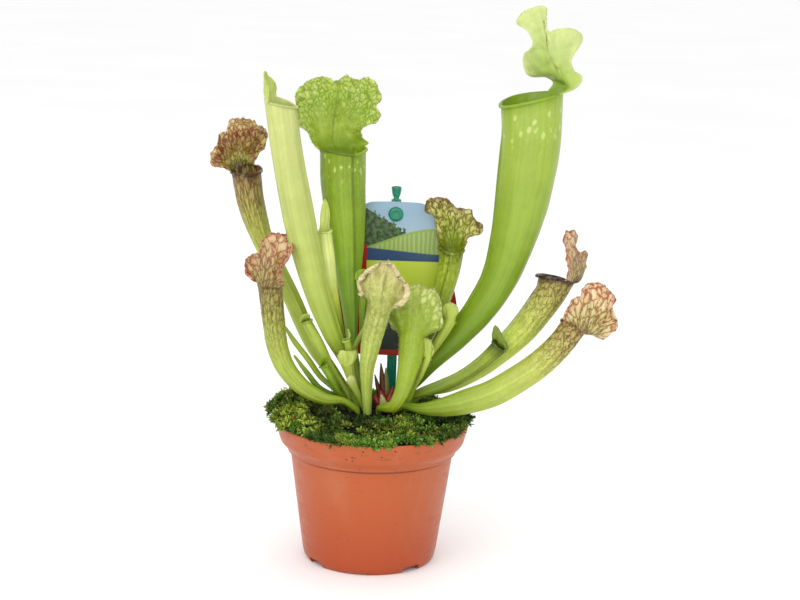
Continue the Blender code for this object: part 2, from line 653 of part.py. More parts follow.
def build_soil(home, cutters):
    """Build the soil with a plain hole for each leaf, the shoots and the peg."""
    soil = turned("soil", soil_profile(), POT_SIDES, home, material("soil", (0.035, 0.022, 0.014), 0.9))
    soil = applied(soil)
    for vertex in soil.data.vertices:
        flat = math.hypot(vertex.co.x, vertex.co.y) / MM
        if flat < CROWN_RADIUS + 1 and vertex.co.z > 90 * MM:
            vertex.co.z += 0.7 * MM * noise.noise(vertex.co / MM * 0.25)
    holes = bpy.data.collections.new("soil_holes")
    cutters.children.link(holes)
    for leaf in PITCHERS + BLADES:
        x, y, _, width = leaf.route[0]
        root_cutter("hole_" + leaf.name, x, y, width / 2, holes)
    root_cutter("hole_shoots", SHOOT_BASE[0], SHOOT_BASE[1], SHOOT_BASE_RADIUS, holes)
    peg_cutter("hole_peg", holes, HOLE_GAP)
    boolean(soil, "DIFFERENCE", holes)
    return soil


def moss_edge(angle):
    """Give the moss mat's outer radius at an angle: it hangs over the rim on the left."""
    left = math.cos(angle - math.pi)
    right = math.cos(angle - math.radians(4))
    swell = 6.5 * max(left, 0.0) ** 5 + 1.4 * max(right, 0.0) ** 6
    return MOSS_RADIUS + swell + 0.9 * math.sin(7 * angle + 1.0) * max(abs(math.cos(angle)), 0.3)


def moss_height(radius, angle):
    """Give the height of the moss at a place: a low dome, banked up on the left."""
    dome = 96.2 - 5.4 * smooth(MOSS_CREST, MOSS_RADIUS, radius)
    left = max(math.cos(angle - math.pi), 0.0) ** 4
    right = max(math.cos(angle - math.radians(8)), 0.0) ** 6
    bank = 12.0 * left * smooth(34.0, 52.0, radius) + 1.5 * right * smooth(50.0, 57.0, radius)
    clump = noise.noise(Vector((radius * math.cos(angle), radius * math.sin(angle), 3.0)) * 0.13)
    return dome + bank + 1.6 * clump


def build_moss(home, cutters):
    """Build the moss mat: a ring with a clumped top drawn up into small tufts."""
    draw = random.Random(SEED)
    rows = MOSS_ROWS

    def place(column, row):
        angle = math.tau * column / MOSS_AROUND
        edge = moss_edge(angle)
        if row == 0 or row == rows + 4:
            radius, height = MOSS_INNER, MOSS_BED
        elif row <= rows + 1:
            share = (row - 1) / rows
            radius = MOSS_CREST + (edge - MOSS_CREST) * share
            height = moss_height(radius, angle)
            height -= smooth(0.8, 1.0, share) * (height - MOSS_BED - 2.2) * 0.6
        elif row == rows + 2:
            radius, height = edge - 1.2, MOSS_BED
        else:
            radius, height = (MOSS_INNER + edge) / 2, MOSS_BED
        return Vector((radius * math.cos(angle), radius * math.sin(angle), height))

    bm = bmesh.new()
    grid(bm, MOSS_AROUND, rows + 4, place)
    bmesh.ops.remove_doubles(bm, verts=bm.verts[:], dist=MERGE)
    bmesh.ops.recalc_face_normals(bm, faces=bm.faces[:])
    upper = [f for f in bm.faces if f.normal.z > 0.3 and f.calc_center_median().z > 89 * MM]
    tips = bmesh.ops.poke(bm, faces=upper)["verts"]
    for tip in tips:
        tip.co += tip.normal * draw.uniform(0.6, 2.4) * MM
    moss = mesh_object("moss", bm, home, material("moss", (0.10, 0.17, 0.03), 0.95), False)
    slot = bpy.data.collections.new("moss_slot")
    cutters.children.link(slot)
    peg_cutter("slot_peg", slot, HOLE_GAP)
    boolean(moss, "DIFFERENCE", slot)
    return moss


def fuse(name, pieces, home, finish):
    """Join several closed meshes in one body and remove the loose ones."""
    body = pieces[0]
    rest = bpy.data.collections.new(name + "_parts")
    bpy.context.scene.collection.children.link(rest)
    for piece in pieces[1:]:
        for group in list(piece.users_collection):
            group.objects.unlink(piece)
        rest.objects.link(piece)
    boolean(body, "UNION", rest)
    applied(body)
    for piece in pieces[1:]:
        bpy.data.objects.remove(piece)
    bpy.data.collections.remove(rest)
    body.name = name
    body.data.materials.clear()
    body.data.materials.append(finish)
    return body


def cone_between(name, foot, tip, radius, top, home, sides=8, squeeze=1.0):
    """Make a tapered round piece from one point to another."""
    foot = Vector(foot)
    tip = Vector(tip)
    aim = tip - foot
    bm = bmesh.new()
    bmesh.ops.create_cone(bm, cap_ends=True, segments=sides, radius1=radius * MM,
                          radius2=top * MM, depth=aim.length * MM)
    bmesh.ops.scale(bm, vec=(1.0, squeeze, 1.0), verts=bm.verts[:])
    turn = Vector((0, 0, 1)).rotation_difference(aim).to_matrix()
    bmesh.ops.rotate(bm, matrix=turn, verts=bm.verts[:])
    bmesh.ops.translate(bm, vec=(foot + tip) / 2 * MM, verts=bm.verts[:])
    return mesh_object(name, bm, home)


def build_shoots(home):
    """Build the cluster of new shoots and bud scales on their common base."""
    base = Vector(SHOOT_BASE)
    top = base + Vector((0, 0, 5.0))
    low = base - Vector((0, 0, SHOOT_BASE_HEIGHT))
    pieces = [cone_between("shoot_base", low, top, SHOOT_BASE_RADIUS, SHOOT_BASE_RADIUS, home, 12)]
    for index, (foot, tip, width, squeeze) in enumerate(SHOOTS):
        pieces.append(cone_between(f"shoot_{index}", foot, tip, width / 2, 0.35, home, 7, squeeze))
    return fuse("new_shoots", pieces, home, material("new_shoots", (0.22, 0.035, 0.03), 0.5))


def peg_middle():
    """Give the depth of the peg's middle, just behind the label."""
    return LABEL_Y + LABEL_THICK + 0.3 + PEG_THICK / 2


def build_label(home):
    """Build the label card: a shield outline with the hole for the stud."""
    curve = bpy.data.curves.new("plant_label", "CURVE")
    curve.dimensions = "2D"
    curve.fill_mode = "BOTH"
    curve.extrude = LABEL_THICK / 2 * MM
    right = list(LABEL_HALF_OUTLINE)
    left = [(-x, z) for x, z in reversed(right) if x > 0]
    hole = []
    for step in range(20):
        turn = math.tau * step / 20
        hole.append((STUD_HOLE * math.cos(turn), STUD_HEIGHT + STUD_HOLE * math.sin(turn)))
    for outline in (right + left, hole):
        line = curve.splines.new("POLY")
        line.points.add(len(outline) - 1)
        for point, (x, z) in zip(line.points, outline):
            point.co = (x * MM, z * MM, 0.0, 1.0)
        line.use_cyclic_u = True
    curve.materials.append(material("plant_label", (0.45, 0.02, 0.02), 0.3))
    made = bpy.data.objects.new("plant_label", curve)
    home.objects.link(made)
    made.rotation_euler = (math.radians(90), 0.0, 0.0)
    made.location = (LABEL_X * MM, (LABEL_Y + LABEL_THICK / 2) * MM, 0.0)
    return made


def build_peg(home):
    """Build the label's peg: pointed stake, neck and cap, and the stud with its button."""
    middle = peg_middle()
    bm = bmesh.new()
    bmesh.ops.create_cube(bm, size=1.0)
    bmesh.ops.scale(bm, vec=(PEG_WIDTH * MM, PEG_THICK * MM, 1.0), verts=bm.verts[:])
    for vertex in bm.verts:
        foot = vertex.co.z < 0
        vertex.co.z = (PEG_FOOT if foot else PEG_SHOULDER) * MM
        if foot:
            vertex.co.x *= 0.4
        vertex.co.x += LABEL_X * MM
        vertex.co.y += middle * MM
    stake = mesh_object("peg_stake", bm, home, smooth=False)
    neck = cone_between("peg_neck", (LABEL_X, middle, PEG_SHOULDER - 0.6),
                        (LABEL_X, middle, CAP_TOP - 2), 1.9, 1.7, home, 10)
    cap = cone_between("peg_cap", (LABEL_X, middle, CAP_BOTTOM), (LABEL_X, middle, CAP_TOP),
                       2.3, 3.2, home, 14)
    front = LABEL_Y - 0.3
    stud = cone_between("peg_stud", (LABEL_X, middle, STUD_HEIGHT),
                        (LABEL_X, front - 1.0, STUD_HEIGHT), STUD_RADIUS, STUD_RADIUS, home, 14)
    button = cone_between("peg_button", (LABEL_X, front, STUD_HEIGHT),
                          (LABEL_X, front - BUTTON_THICK, STUD_HEIGHT),
                          BUTTON_RADIUS, BUTTON_RADIUS - 0.5, home, 20)
    finish = material("label_peg", (0.0, 0.20, 0.13), 0.3)
    return fuse("label_peg", [stake, neck, cap, stud, button], home, finish)


def main():
    """Clear the scene and build every piece."""
    for old in list(bpy.data.objects):
        bpy.data.objects.remove(old)
    home = bpy.data.collections.new(COLLECTION)
    cutters = bpy.data.collections.new(CUTTERS)
    bpy.context.scene.collection.children.link(home)
    bpy.context.scene.collection.children.link(cutters)
    build_pot(home, cutters)
    build_soil(home, cutters)
    build_moss(home, cutters)
    build_shoots(home)
    for pitcher in PITCHERS:
        build_pitcher(pitcher, home)
    for blade in BLADES:
        build_blade(blade, home)
    build_label(home)
    build_peg(home)
    for made in bpy.data.objects:
        made.location.x -= MIDDLE_X * MM


main()
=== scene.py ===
"""Potted sarracenia: veined trumpet pitchers with ruffled hoods in a mossy nursery pot.

Z is up and the pot's foot rests on Z = 0. Lengths in the tables are millimetres from the pot's
axis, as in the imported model, and the whole plant is moved along X as that model is.
"""
import logging
import math
import random
from dataclasses import dataclass, replace
from enum import Enum
from typing import Callable, Sequence

import bmesh
import bpy
from mathutils import Matrix, Vector, noise


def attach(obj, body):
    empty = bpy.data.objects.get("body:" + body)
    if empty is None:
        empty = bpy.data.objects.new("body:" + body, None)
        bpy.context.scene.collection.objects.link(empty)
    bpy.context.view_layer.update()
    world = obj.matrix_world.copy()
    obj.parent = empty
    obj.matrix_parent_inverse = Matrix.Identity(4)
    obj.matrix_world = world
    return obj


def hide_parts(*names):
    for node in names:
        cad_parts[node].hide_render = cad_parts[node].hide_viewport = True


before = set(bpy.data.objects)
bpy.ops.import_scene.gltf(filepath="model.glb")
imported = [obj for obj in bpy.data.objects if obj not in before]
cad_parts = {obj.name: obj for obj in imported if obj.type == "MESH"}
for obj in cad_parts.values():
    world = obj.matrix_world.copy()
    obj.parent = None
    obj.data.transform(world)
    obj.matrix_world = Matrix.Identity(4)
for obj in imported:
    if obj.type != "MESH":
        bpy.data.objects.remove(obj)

LOG = logging.getLogger("potted_sarracenia")
MM = 0.001
AXIS = Vector((-18.6, 0.0, 0.0))
MERGE = 0.00002
ROOT_LEVEL = 84.0
LIGHT = 1.46          # light that falls on a surface that faces the camera
GLOSS = 0.024         # what a surface's own shine adds to its colour

Socket = bpy.types.NodeSocket
Material = bpy.types.Material
Object = bpy.types.Object
BMesh = bmesh.types.BMesh
Paint = tuple[float, float, float]              # a colour as a screen shows it, 0 to 255
Stops = tuple[tuple[float, Paint], ...]         # where each colour stands, and the colour
Linear = tuple[float, float, float, float]      # a linear colour with its alpha
Levels = tuple[tuple[float, float], ...]        # where each level stands, and the level
Spot = tuple[float, float, float, float]        # a place in each of the two charts
Triple = tuple[float, float, float]
Route = tuple[tuple[float, float, float, float], ...]   # x, y, z and width at each point, mm
Profile = list[tuple[float, float]]             # radii and heights, mm
Ring = tuple[Vector, float, Vector, Vector, Vector]     # centre, radius, along, front, side
Place = Callable[[int, int], Vector]
Mark = Callable[[int, int], Spot]


def paint(red: float, green: float, blue: float) -> Linear:
    """Give a surface's linear colour from the colour that a screen shows it with.

    Args:
        red: Red, 0 to 255.
        green: Green, 0 to 255.
        blue: Blue, 0 to 255.

    Returns:
        The linear colour with an alpha of 1, less what the studio's light adds.
    """
    linear = []
    for level in (red, green, blue):
        share = level / 255
        share = share / 12.92 if share <= 0.04045 else ((share + 0.055) / 1.055) ** 2.4
        linear.append(max(share - GLOSS, 0.2 * share) / LIGHT)
    return (linear[0], linear[1], linear[2], 1.0)


def ease(low: float, high: float, value: float) -> float:
    """Give a smooth step.

    Args:
        low: Where the step starts.
        high: Where it ends.
        value: Where it is read.

    Returns:
        0 at low to 1 at high.
    """
    share = min(max((value - low) / (high - low), 0.0), 1.0)
    return share * share * (3 - 2 * share)


def crumple(x: float, y: float, z: float, size: float) -> float:
    """Give smooth noise from -1 to 1 with features of a size in the same unit as the place."""
    return noise.noise(Vector((x, y, z)) / size)


class Recipe:
    """One material's node tree, with a short call for each kind of node."""

    def __init__(self, name: str) -> None:
        """Start a material.

        Args:
            name: The material's name.
        """
        self.material = bpy.data.materials.new(name)
        self.material.use_nodes = True
        self.tree = self.material.node_tree
        self.shader = self.tree.nodes["Principled BSDF"]

    def feed(self, target: Socket, value: object) -> None:
        """Link an input to a socket, or set the input's own value.

        Args:
            target: The input.
            value: An output socket, a number or a colour.
        """
        if isinstance(value, Socket):
            self.tree.links.new(value, target)
        else:
            target.default_value = value

    def coat(self, **values: object) -> None:
        """Set inputs of the shader, named in small letters with underscores.

        Args:
            **values: A socket or a value for each input.
        """
        for name, value in values.items():
            title = " ".join(word.capitalize() for word in name.split("_"))
            self.feed(self.shader.inputs[title.replace("Ior", "IOR")], value)

    def place(self) -> Socket:
        """Give the place on the object, in metres."""
        return self.tree.nodes.new("ShaderNodeTexCoord").outputs["Object"]

    def chart(self, name: str) -> Socket:
        """Give the named UV map's place."""
        node = self.tree.nodes.new("ShaderNodeUVMap")
        node.uv_map = name
        return node.outputs["UV"]

    def attribute(self, name: str) -> Socket:
        """Give a number that each corner of the mesh carries."""
        node = self.tree.nodes.new("ShaderNodeAttribute")
        node.attribute_name = name
        return node.outputs["Fac"]

    def parts(self, vector: Socket) -> tuple[Socket, ...]:
        """Split a vector in its three numbers."""
        node = self.tree.nodes.new("ShaderNodeSeparateXYZ")
        self.feed(node.inputs[0], vector)
        return tuple(node.outputs)

    def mapped(self, vector: Socket, scale: Triple, shift: Triple = (0.0, 0.0, 0.0)) -> Socket:
        """Scale and move a vector.

        Args:
            vector: The vector.
            scale: A scale for each axis.
            shift: A move that comes after the scale.

        Returns:
            The new vector.
        """
        node = self.tree.nodes.new("ShaderNodeMapping")
        self.feed(node.inputs["Vector"], vector)
        node.inputs["Scale"].default_value = scale
        node.inputs["Location"].default_value = shift
        return node.outputs[0]

    def clouds(self, vector: Socket, scale: float, detail: float = 3.0,
               rough: float = 0.55) -> Socket:
        """Give soft noise.

        Args:
            vector: Where it is read.
            scale: Features in a unit of the vector.
            detail: Finer layers.
            rough: Strength of the finer layers.

        Returns:
            A number about 0.5.
        """
        node = self.tree.nodes.new("ShaderNodeTexNoise")
        self.feed(node.inputs["Vector"], vector)
        node.inputs["Scale"].default_value = scale
        node.inputs["Detail"].default_value = detail
        node.inputs["Roughness"].default_value = rough
        return node.outputs["Fac"]

    def cells(self, vector: Socket, scale: float, edges: bool = True,
              loose: float = 0.9) -> tuple[Socket, Socket | None]:
        """Give a pattern of cells.

        Args:
            vector: Where it is read.
            scale: Cells in a unit of the vector.
            edges: Measure from the cell's edges, or else from its middle.
            loose: How irregular the cells are, 0 to 1.

        Returns:
            The distance, and where it is from the middle a colour for each cell.
        """
        node = self.tree.nodes.new("ShaderNodeTexVoronoi")
        node.feature = "DISTANCE_TO_EDGE" if edges else "F1"
        self.feed(node.inputs["Vector"], vector)
        node.inputs["Scale"].default_value = scale
        node.inputs["Randomness"].default_value = loose
        return node.outputs["Distance"], None if edges else node.outputs["Color"]

    def maths(self, kind: str, first: object, second: object = 0.0) -> Socket:
        """Work out one number from two.

        Args:
            kind: The operation.
            first: A socket or number.
            second: A socket or number.

        Returns:
            The result, kept within 0 and 1 where the operation is a product.
        """
        node = self.tree.nodes.new("ShaderNodeMath")
        node.operation = kind
        node.use_clamp = kind == "MULTIPLY"
        self.feed(node.inputs[0], first)
        self.feed(node.inputs[1], second)
        return node.outputs[0]

    def times(self, first: object, second: object) -> Socket:
        """Give the product of two numbers, kept within 0 and 1."""
        return self.maths("MULTIPLY", first, second)

    def apart(self, value: Socket, mark: float) -> Socket:
        """Give how far a number is from a mark, either way."""
        return self.maths("ABSOLUTE", self.maths("SUBTRACT", value, mark))

    def joined(self, x: Socket, y: Socket) -> Socket:
        """Make a vector of two numbers."""
        node = self.tree.nodes.new("ShaderNodeCombineXYZ")
        self.feed(node.inputs[0], x)
        self.feed(node.inputs[1], y)
        return node.outputs[0]

    def span(self, value: Socket, low: float, high: float, start: float = 0.0,
             end: float = 1.0) -> Socket:
        """Ease one span of a number to another.

        Args:
            value: The number.
            low: Where the span starts.
            high: Where it ends.
            start: What low becomes.
            end: What high becomes.

        Returns:
            The eased number.
        """
        node = self.tree.nodes.new("ShaderNodeMapRange")
        node.interpolation_type = "SMOOTHSTEP"
        self.feed(node.inputs["Value"], value)
        node.inputs["From Min"].default_value = low
        node.inputs["From Max"].default_value = high
        node.inputs["To Min"].default_value = start
        node.inputs["To Max"].default_value = end
        return node.outputs["Result"]

    def ramp(self, value: Socket, stops: Stops) -> Socket:
        """Turn a number from 0 to 1 into a colour.

        Args:
            value: The number.
            stops: Where each colour stands, and the colour as a screen shows it.

        Returns:
            The colour.
        """
        return self.stepped(value, [(at, paint(*colour)) for at, colour in stops])

    def levels(self, value: Socket, stops: Levels) -> Socket:
        """Turn a number from 0 to 1 into another through a list of stops.

        Args:
            value: The number.
            stops: Where each level stands, and the level.

        Returns:
            The level.
        """
        return self.stepped(value, [(at, (level, level, level, 1.0)) for at, level in stops])

    def stepped(self, value: Socket, stops: list[tuple[float, Linear]]) -> Socket:
        """Turn a number from 0 to 1 into a linear colour.

        Args:
            value: The number.
            stops: Where each linear colour stands, and the colour.

        Returns:
            The linear colour.
        """
        node = self.tree.nodes.new("ShaderNodeValToRGB")
        self.feed(node.inputs[0], value)
        points = node.color_ramp.elements
        while len(points) < len(stops):
            points.new(0.5)
        for point, (at, colour) in zip(points, stops):
            point.position = at
            point.color = colour
        return node.outputs["Color"]

    def blend(self, share: object, first: object, second: object,
              kind: str = "MIX") -> Socket:
        """Mix two colours.

        Args:
            share: Share of the second, a socket or number.
            first: A socket or a linear colour.
            second: A socket or a linear colour.
            kind: How they mix.

        Returns:
            The mixed colour.
        """
        node = self.tree.nodes.new("ShaderNodeMix")
        node.data_type = "RGBA"
        node.blend_type = kind
        self.feed(node.inputs[0], share)
        self.feed(node.inputs[6], first)
        self.feed(node.inputs[7], second)
        return node.outputs[2]

    def shaded(self, colour: object, shade: object) -> Socket:
        """Multiply a colour by a shade."""
        return self.blend(1.0, colour, shade, "MULTIPLY")

    def relief(self, height: Socket, depth: float, below: Socket | None = None) -> Socket:
        """Raise the surface by a height.

        Args:
            height: The height, 0 to 1.
            depth: What 1 stands for, in metres.
            below: Another relief that this one lies on.

        Returns:
            The normal.
        """
        node = self.tree.nodes.new("ShaderNodeBump")
        node.inputs["Strength"].default_value = 1.0
        node.inputs["Distance"].default_value = depth
        self.feed(node.inputs["Height"], height)
        if below is not None:
            self.feed(node.inputs["Normal"], below)
        return node.outputs[0]


class Veins(Enum):
    """What stands between the leaf's colours and the eye."""

    FAINT = "faint"
    WINDOWS = "windows"
    NET = "net"


@dataclass(frozen=True)
class LeafFinish:
    """Skin of one leaf: colours from root to margin, veins, windows, ribs, and painted shade along
    the keel.
    """

    MOUTH = (0.499, 0.501)  # growth just below the mouth and just above it
    KEEL_SHADE_AND_SPINE = (0.32, 0.36, 0.25, 1.0)      # what the keel's painted shade and the spine's darker vein make of a colour
    DEPTHS = (0.0004, 0.00025, 0.00004)     # relief of blisters, ribs and grain, metres
    SOFT = (0.7, 1.0, 0.3)  # how far each colour of the light goes in, share of the scale

    name: str
    colours: Stops          # along the growth: 0 root, 0.5 mouth, 1 margin of the hood
    veins: Veins = Veins.FAINT
    vein: Paint = (120, 150, 50)
    strength: Levels = ((0.0, 0.0), (1.0, 0.3))     # how strong the veins are
    width: float = 0.12     # width of a vein, share of a cell
    window: Paint = (226, 236, 150)
    panes: Levels = ((0.0, 0.0), (1.0, 0.0))        # how clear the windows are
    margin: Paint | None = None
    ribs: float = 0.3       # strength of the streaks along the tube
    rough: float = 0.42
    small: float = 0.4      # strength of the finest veins
    blush: Paint | None = None   # colour of the veins at the hood's margin
    keel_shade: float = 0.35      # darkness of the painted shade along the keel
    spine: float = 0.3      # darkness of the hood's middle vein
    dots: float = 1.0       # window dots in one vein cell's width
    sparse: float = 0.42    # how much of the tube's upper end stays without windows
    lanes: Levels = ((0.0, 0.6), (0.45, 1.0), (0.7, 0.8), (0.85, 0.2))  # the long veins
    mesh: Levels = ((0.0, 0.1), (0.3, 0.35), (0.46, 0.8), (0.6, 0.9))   # the net between them

    def make(self) -> Material:
        """Write the leaf's material.

        Returns:
            The material.
        """
        mix = Recipe(self.name)
        net = mix.chart("net")
        around, up, _ = mix.parts(net)
        side, level, _ = mix.parts(mix.chart("growth"))
        along = mix.maths("MULTIPLY", level, 0.5)
        place = mix.place()
        wobble = mix.clouds(mix.mapped(net, (0.9, 0.55, 1.0)), 1.0, 3.0, 0.6)
        streaks = mix.clouds(mix.mapped(net, (2.2, 0.05, 1.0)), 1.0, 3.0, 0.65)
        mottle = mix.clouds(place, 90.0, 4.0)
        drift = mix.span(wobble, 0.25, 0.75, -0.42, 0.42)
        bent = mix.joined(mix.maths("ADD", around, drift),
                          mix.maths("ADD", up, mix.span(streaks, 0.3, 0.7, -0.2, 0.2)))
        coarse, _ = mix.cells(bent, 1.0, True, 0.95)
        fine, _ = mix.cells(bent, 2.1, True, 1.0)
        lane = mix.maths("PINGPONG", mix.maths("ADD", around, drift), 0.5)
        lane = mix.span(lane, self.width * 0.3, self.width * 0.9, 1.0, 0.0)
        lane = mix.times(lane, mix.levels(along, self.lanes))
        main = mix.span(coarse, self.width * 0.25, self.width * 0.9, 1.0, 0.0)
        main = mix.times(main, mix.levels(along, self.mesh))
        small = mix.times(mix.span(fine, 0.02, 0.1, self.small, 0.0), mix.levels(along, self.mesh))
        lines = mix.maths("MAXIMUM", mix.maths("MAXIMUM", main, small), lane)
        lines = mix.times(lines, mix.levels(along, self.strength))
        off = mix.apart(side, 0.5)
        hood = mix.span(along, *self.MOUTH)
        # painted shade in a narrow band on each side of the keel, in place of the shadow beside
        # its ridge
        keel_shade = mix.times(mix.span(off, 0.483, 0.497, 0.0, self.keel_shade), mix.span(along, 0.1, 0.3))
        spine = mix.times(mix.span(off, 0.0, 0.009, self.spine, 0.0), hood)
        colour = mix.ramp(along, self.colours)
        shade = mix.span(streaks, 0.32, 0.68, 1.0 - 0.35 * self.ribs, 1.0 + 0.12 * self.ribs)
        tone = mix.blend(mix.span(hood, 0.0, 1.0, 1.0, 0.45), colour, shade, "MULTIPLY")
        tone = mix.shaded(tone, mix.span(mottle, 0.35, 0.7, 0.93, 1.04))
        if self.veins is not Veins.FAINT:
            pane = mix.span(coarse, self.width * 0.6, self.width + 0.16)
            picked = mix.clouds(mix.mapped(net, (0.5, 0.5, 1.0), (3.0, 5.0, 0.0)), 1.0, 3.0)
            if self.veins is Veins.WINDOWS:
                shift = mix.span(wobble, 0.25, 0.75, -0.15, 0.15)
                calm = mix.joined(mix.maths("ADD", around, shift), up)
                near, tint = mix.cells(mix.mapped(calm, (1.0, 0.62, 1.0)), self.dots, False, 0.85)
                chance = mix.span(mix.parts(tint)[0], self.sparse - 0.14, self.sparse - 0.04)
                dot = mix.times(mix.span(near, 0.2, 0.36, 1.0, 0.0), chance)
                pane = mix.blend(hood, dot, pane)
                picked = mix.span(picked, self.sparse, self.sparse + 0.1)
                picked = mix.maths("MAXIMUM", picked, mix.span(along, 0.6, 0.75, 0.0, 0.85))
                picked = mix.maths("MAXIMUM", picked, mix.span(along, *self.MOUTH, 1.0, 0.0))
                picked = mix.times(picked, mix.span(off, 0.01, 0.05))
            else:
                picked = mix.span(picked, 0.3, 0.5, 0.35, 1.0)
            pane = mix.times(pane, mix.levels(along, self.panes))
            tone = mix.blend(mix.times(pane, picked), tone, paint(*self.window))
        ends = ((0.52, self.vein), (0.75, self.blush or self.vein))
        tone = mix.blend(lines, tone, mix.ramp(along, ends))
        # darken the tone for the keel's painted shade and the hood's middle vein
        dark = mix.shaded(tone, self.KEEL_SHADE_AND_SPINE)
        tone = mix.blend(mix.maths("MAXIMUM", keel_shade, spine), tone, dark)
        if self.margin is not None:
            edge = mix.times(mix.span(along, 0.95, 0.998, 0.0, 0.8),
                             mix.span(wobble, 0.35, 0.6, 0.2, 1.0))
            tone = mix.blend(edge, tone, paint(*self.margin))
        away = mix.span(mix.apart(along, 0.5), 0.002, 0.02)
        blister = mix.times(mix.span(coarse, 0.0, 0.4), mix.levels(along, self.strength))
        blisters, folds, grain = self.DEPTHS
        skin = mix.relief(mix.times(blister, away), blisters)
        skin = mix.relief(mix.times(streaks, away), folds * self.ribs, skin)
        skin = mix.relief(mix.clouds(place, 900.0, 2.0), grain, skin)
        rough = mix.span(mottle, 0.3, 0.7, self.rough - 0.06, self.rough + 0.08)
        mix.coat(base_color=tone, roughness=rough, normal=skin, specular_ior_level=0.38,
                 subsurface_weight=0.3, subsurface_scale=0.003)
        mix.shader.inputs["Subsurface Radius"].default_value = self.SOFT
        return mix.material


@dataclass(frozen=True)
class Hood:
    """Lid that grows from the back of a mouth, drawn by its edge.

    The edge runs from the picture's left over the top to its right, in millimetres from the
    rear point of the mouth.
    """

    edge: tuple[tuple[float, float], ...]
    face: float = -90.0     # where its inner side looks, degrees
    lean: float = 0.0       # lean towards that side, degrees
    cup: float = 0.0        # how far the sides come forward, mm
    crest: float = 0.0      # how far the top comes forward, mm
    waves: float = 3.5      # ruffles across the edge
    ruffle: float = 2.4     # depth of a ruffle, mm
    frill: float = 0.7      # depth of the small frills, mm
    phase: float = 0.0
    hold: float = 0.8       # share of its height that keeps the round of the mouth
    crumple: float = 0.5    # depth of the dents all over it, mm
    spread: float = 1.8     # how close to the edge the ruffles keep
    roll: float = 0.0       # how far the margin turns back, mm
    curl: float = 0.0       # how far the margin then turns in again, 0 to 1
    fold: float = 0.0       # slope of its right half behind the spine
    spine: tuple[float, float, float, float] = (0.0, 0.0, 0.0, 30.0)


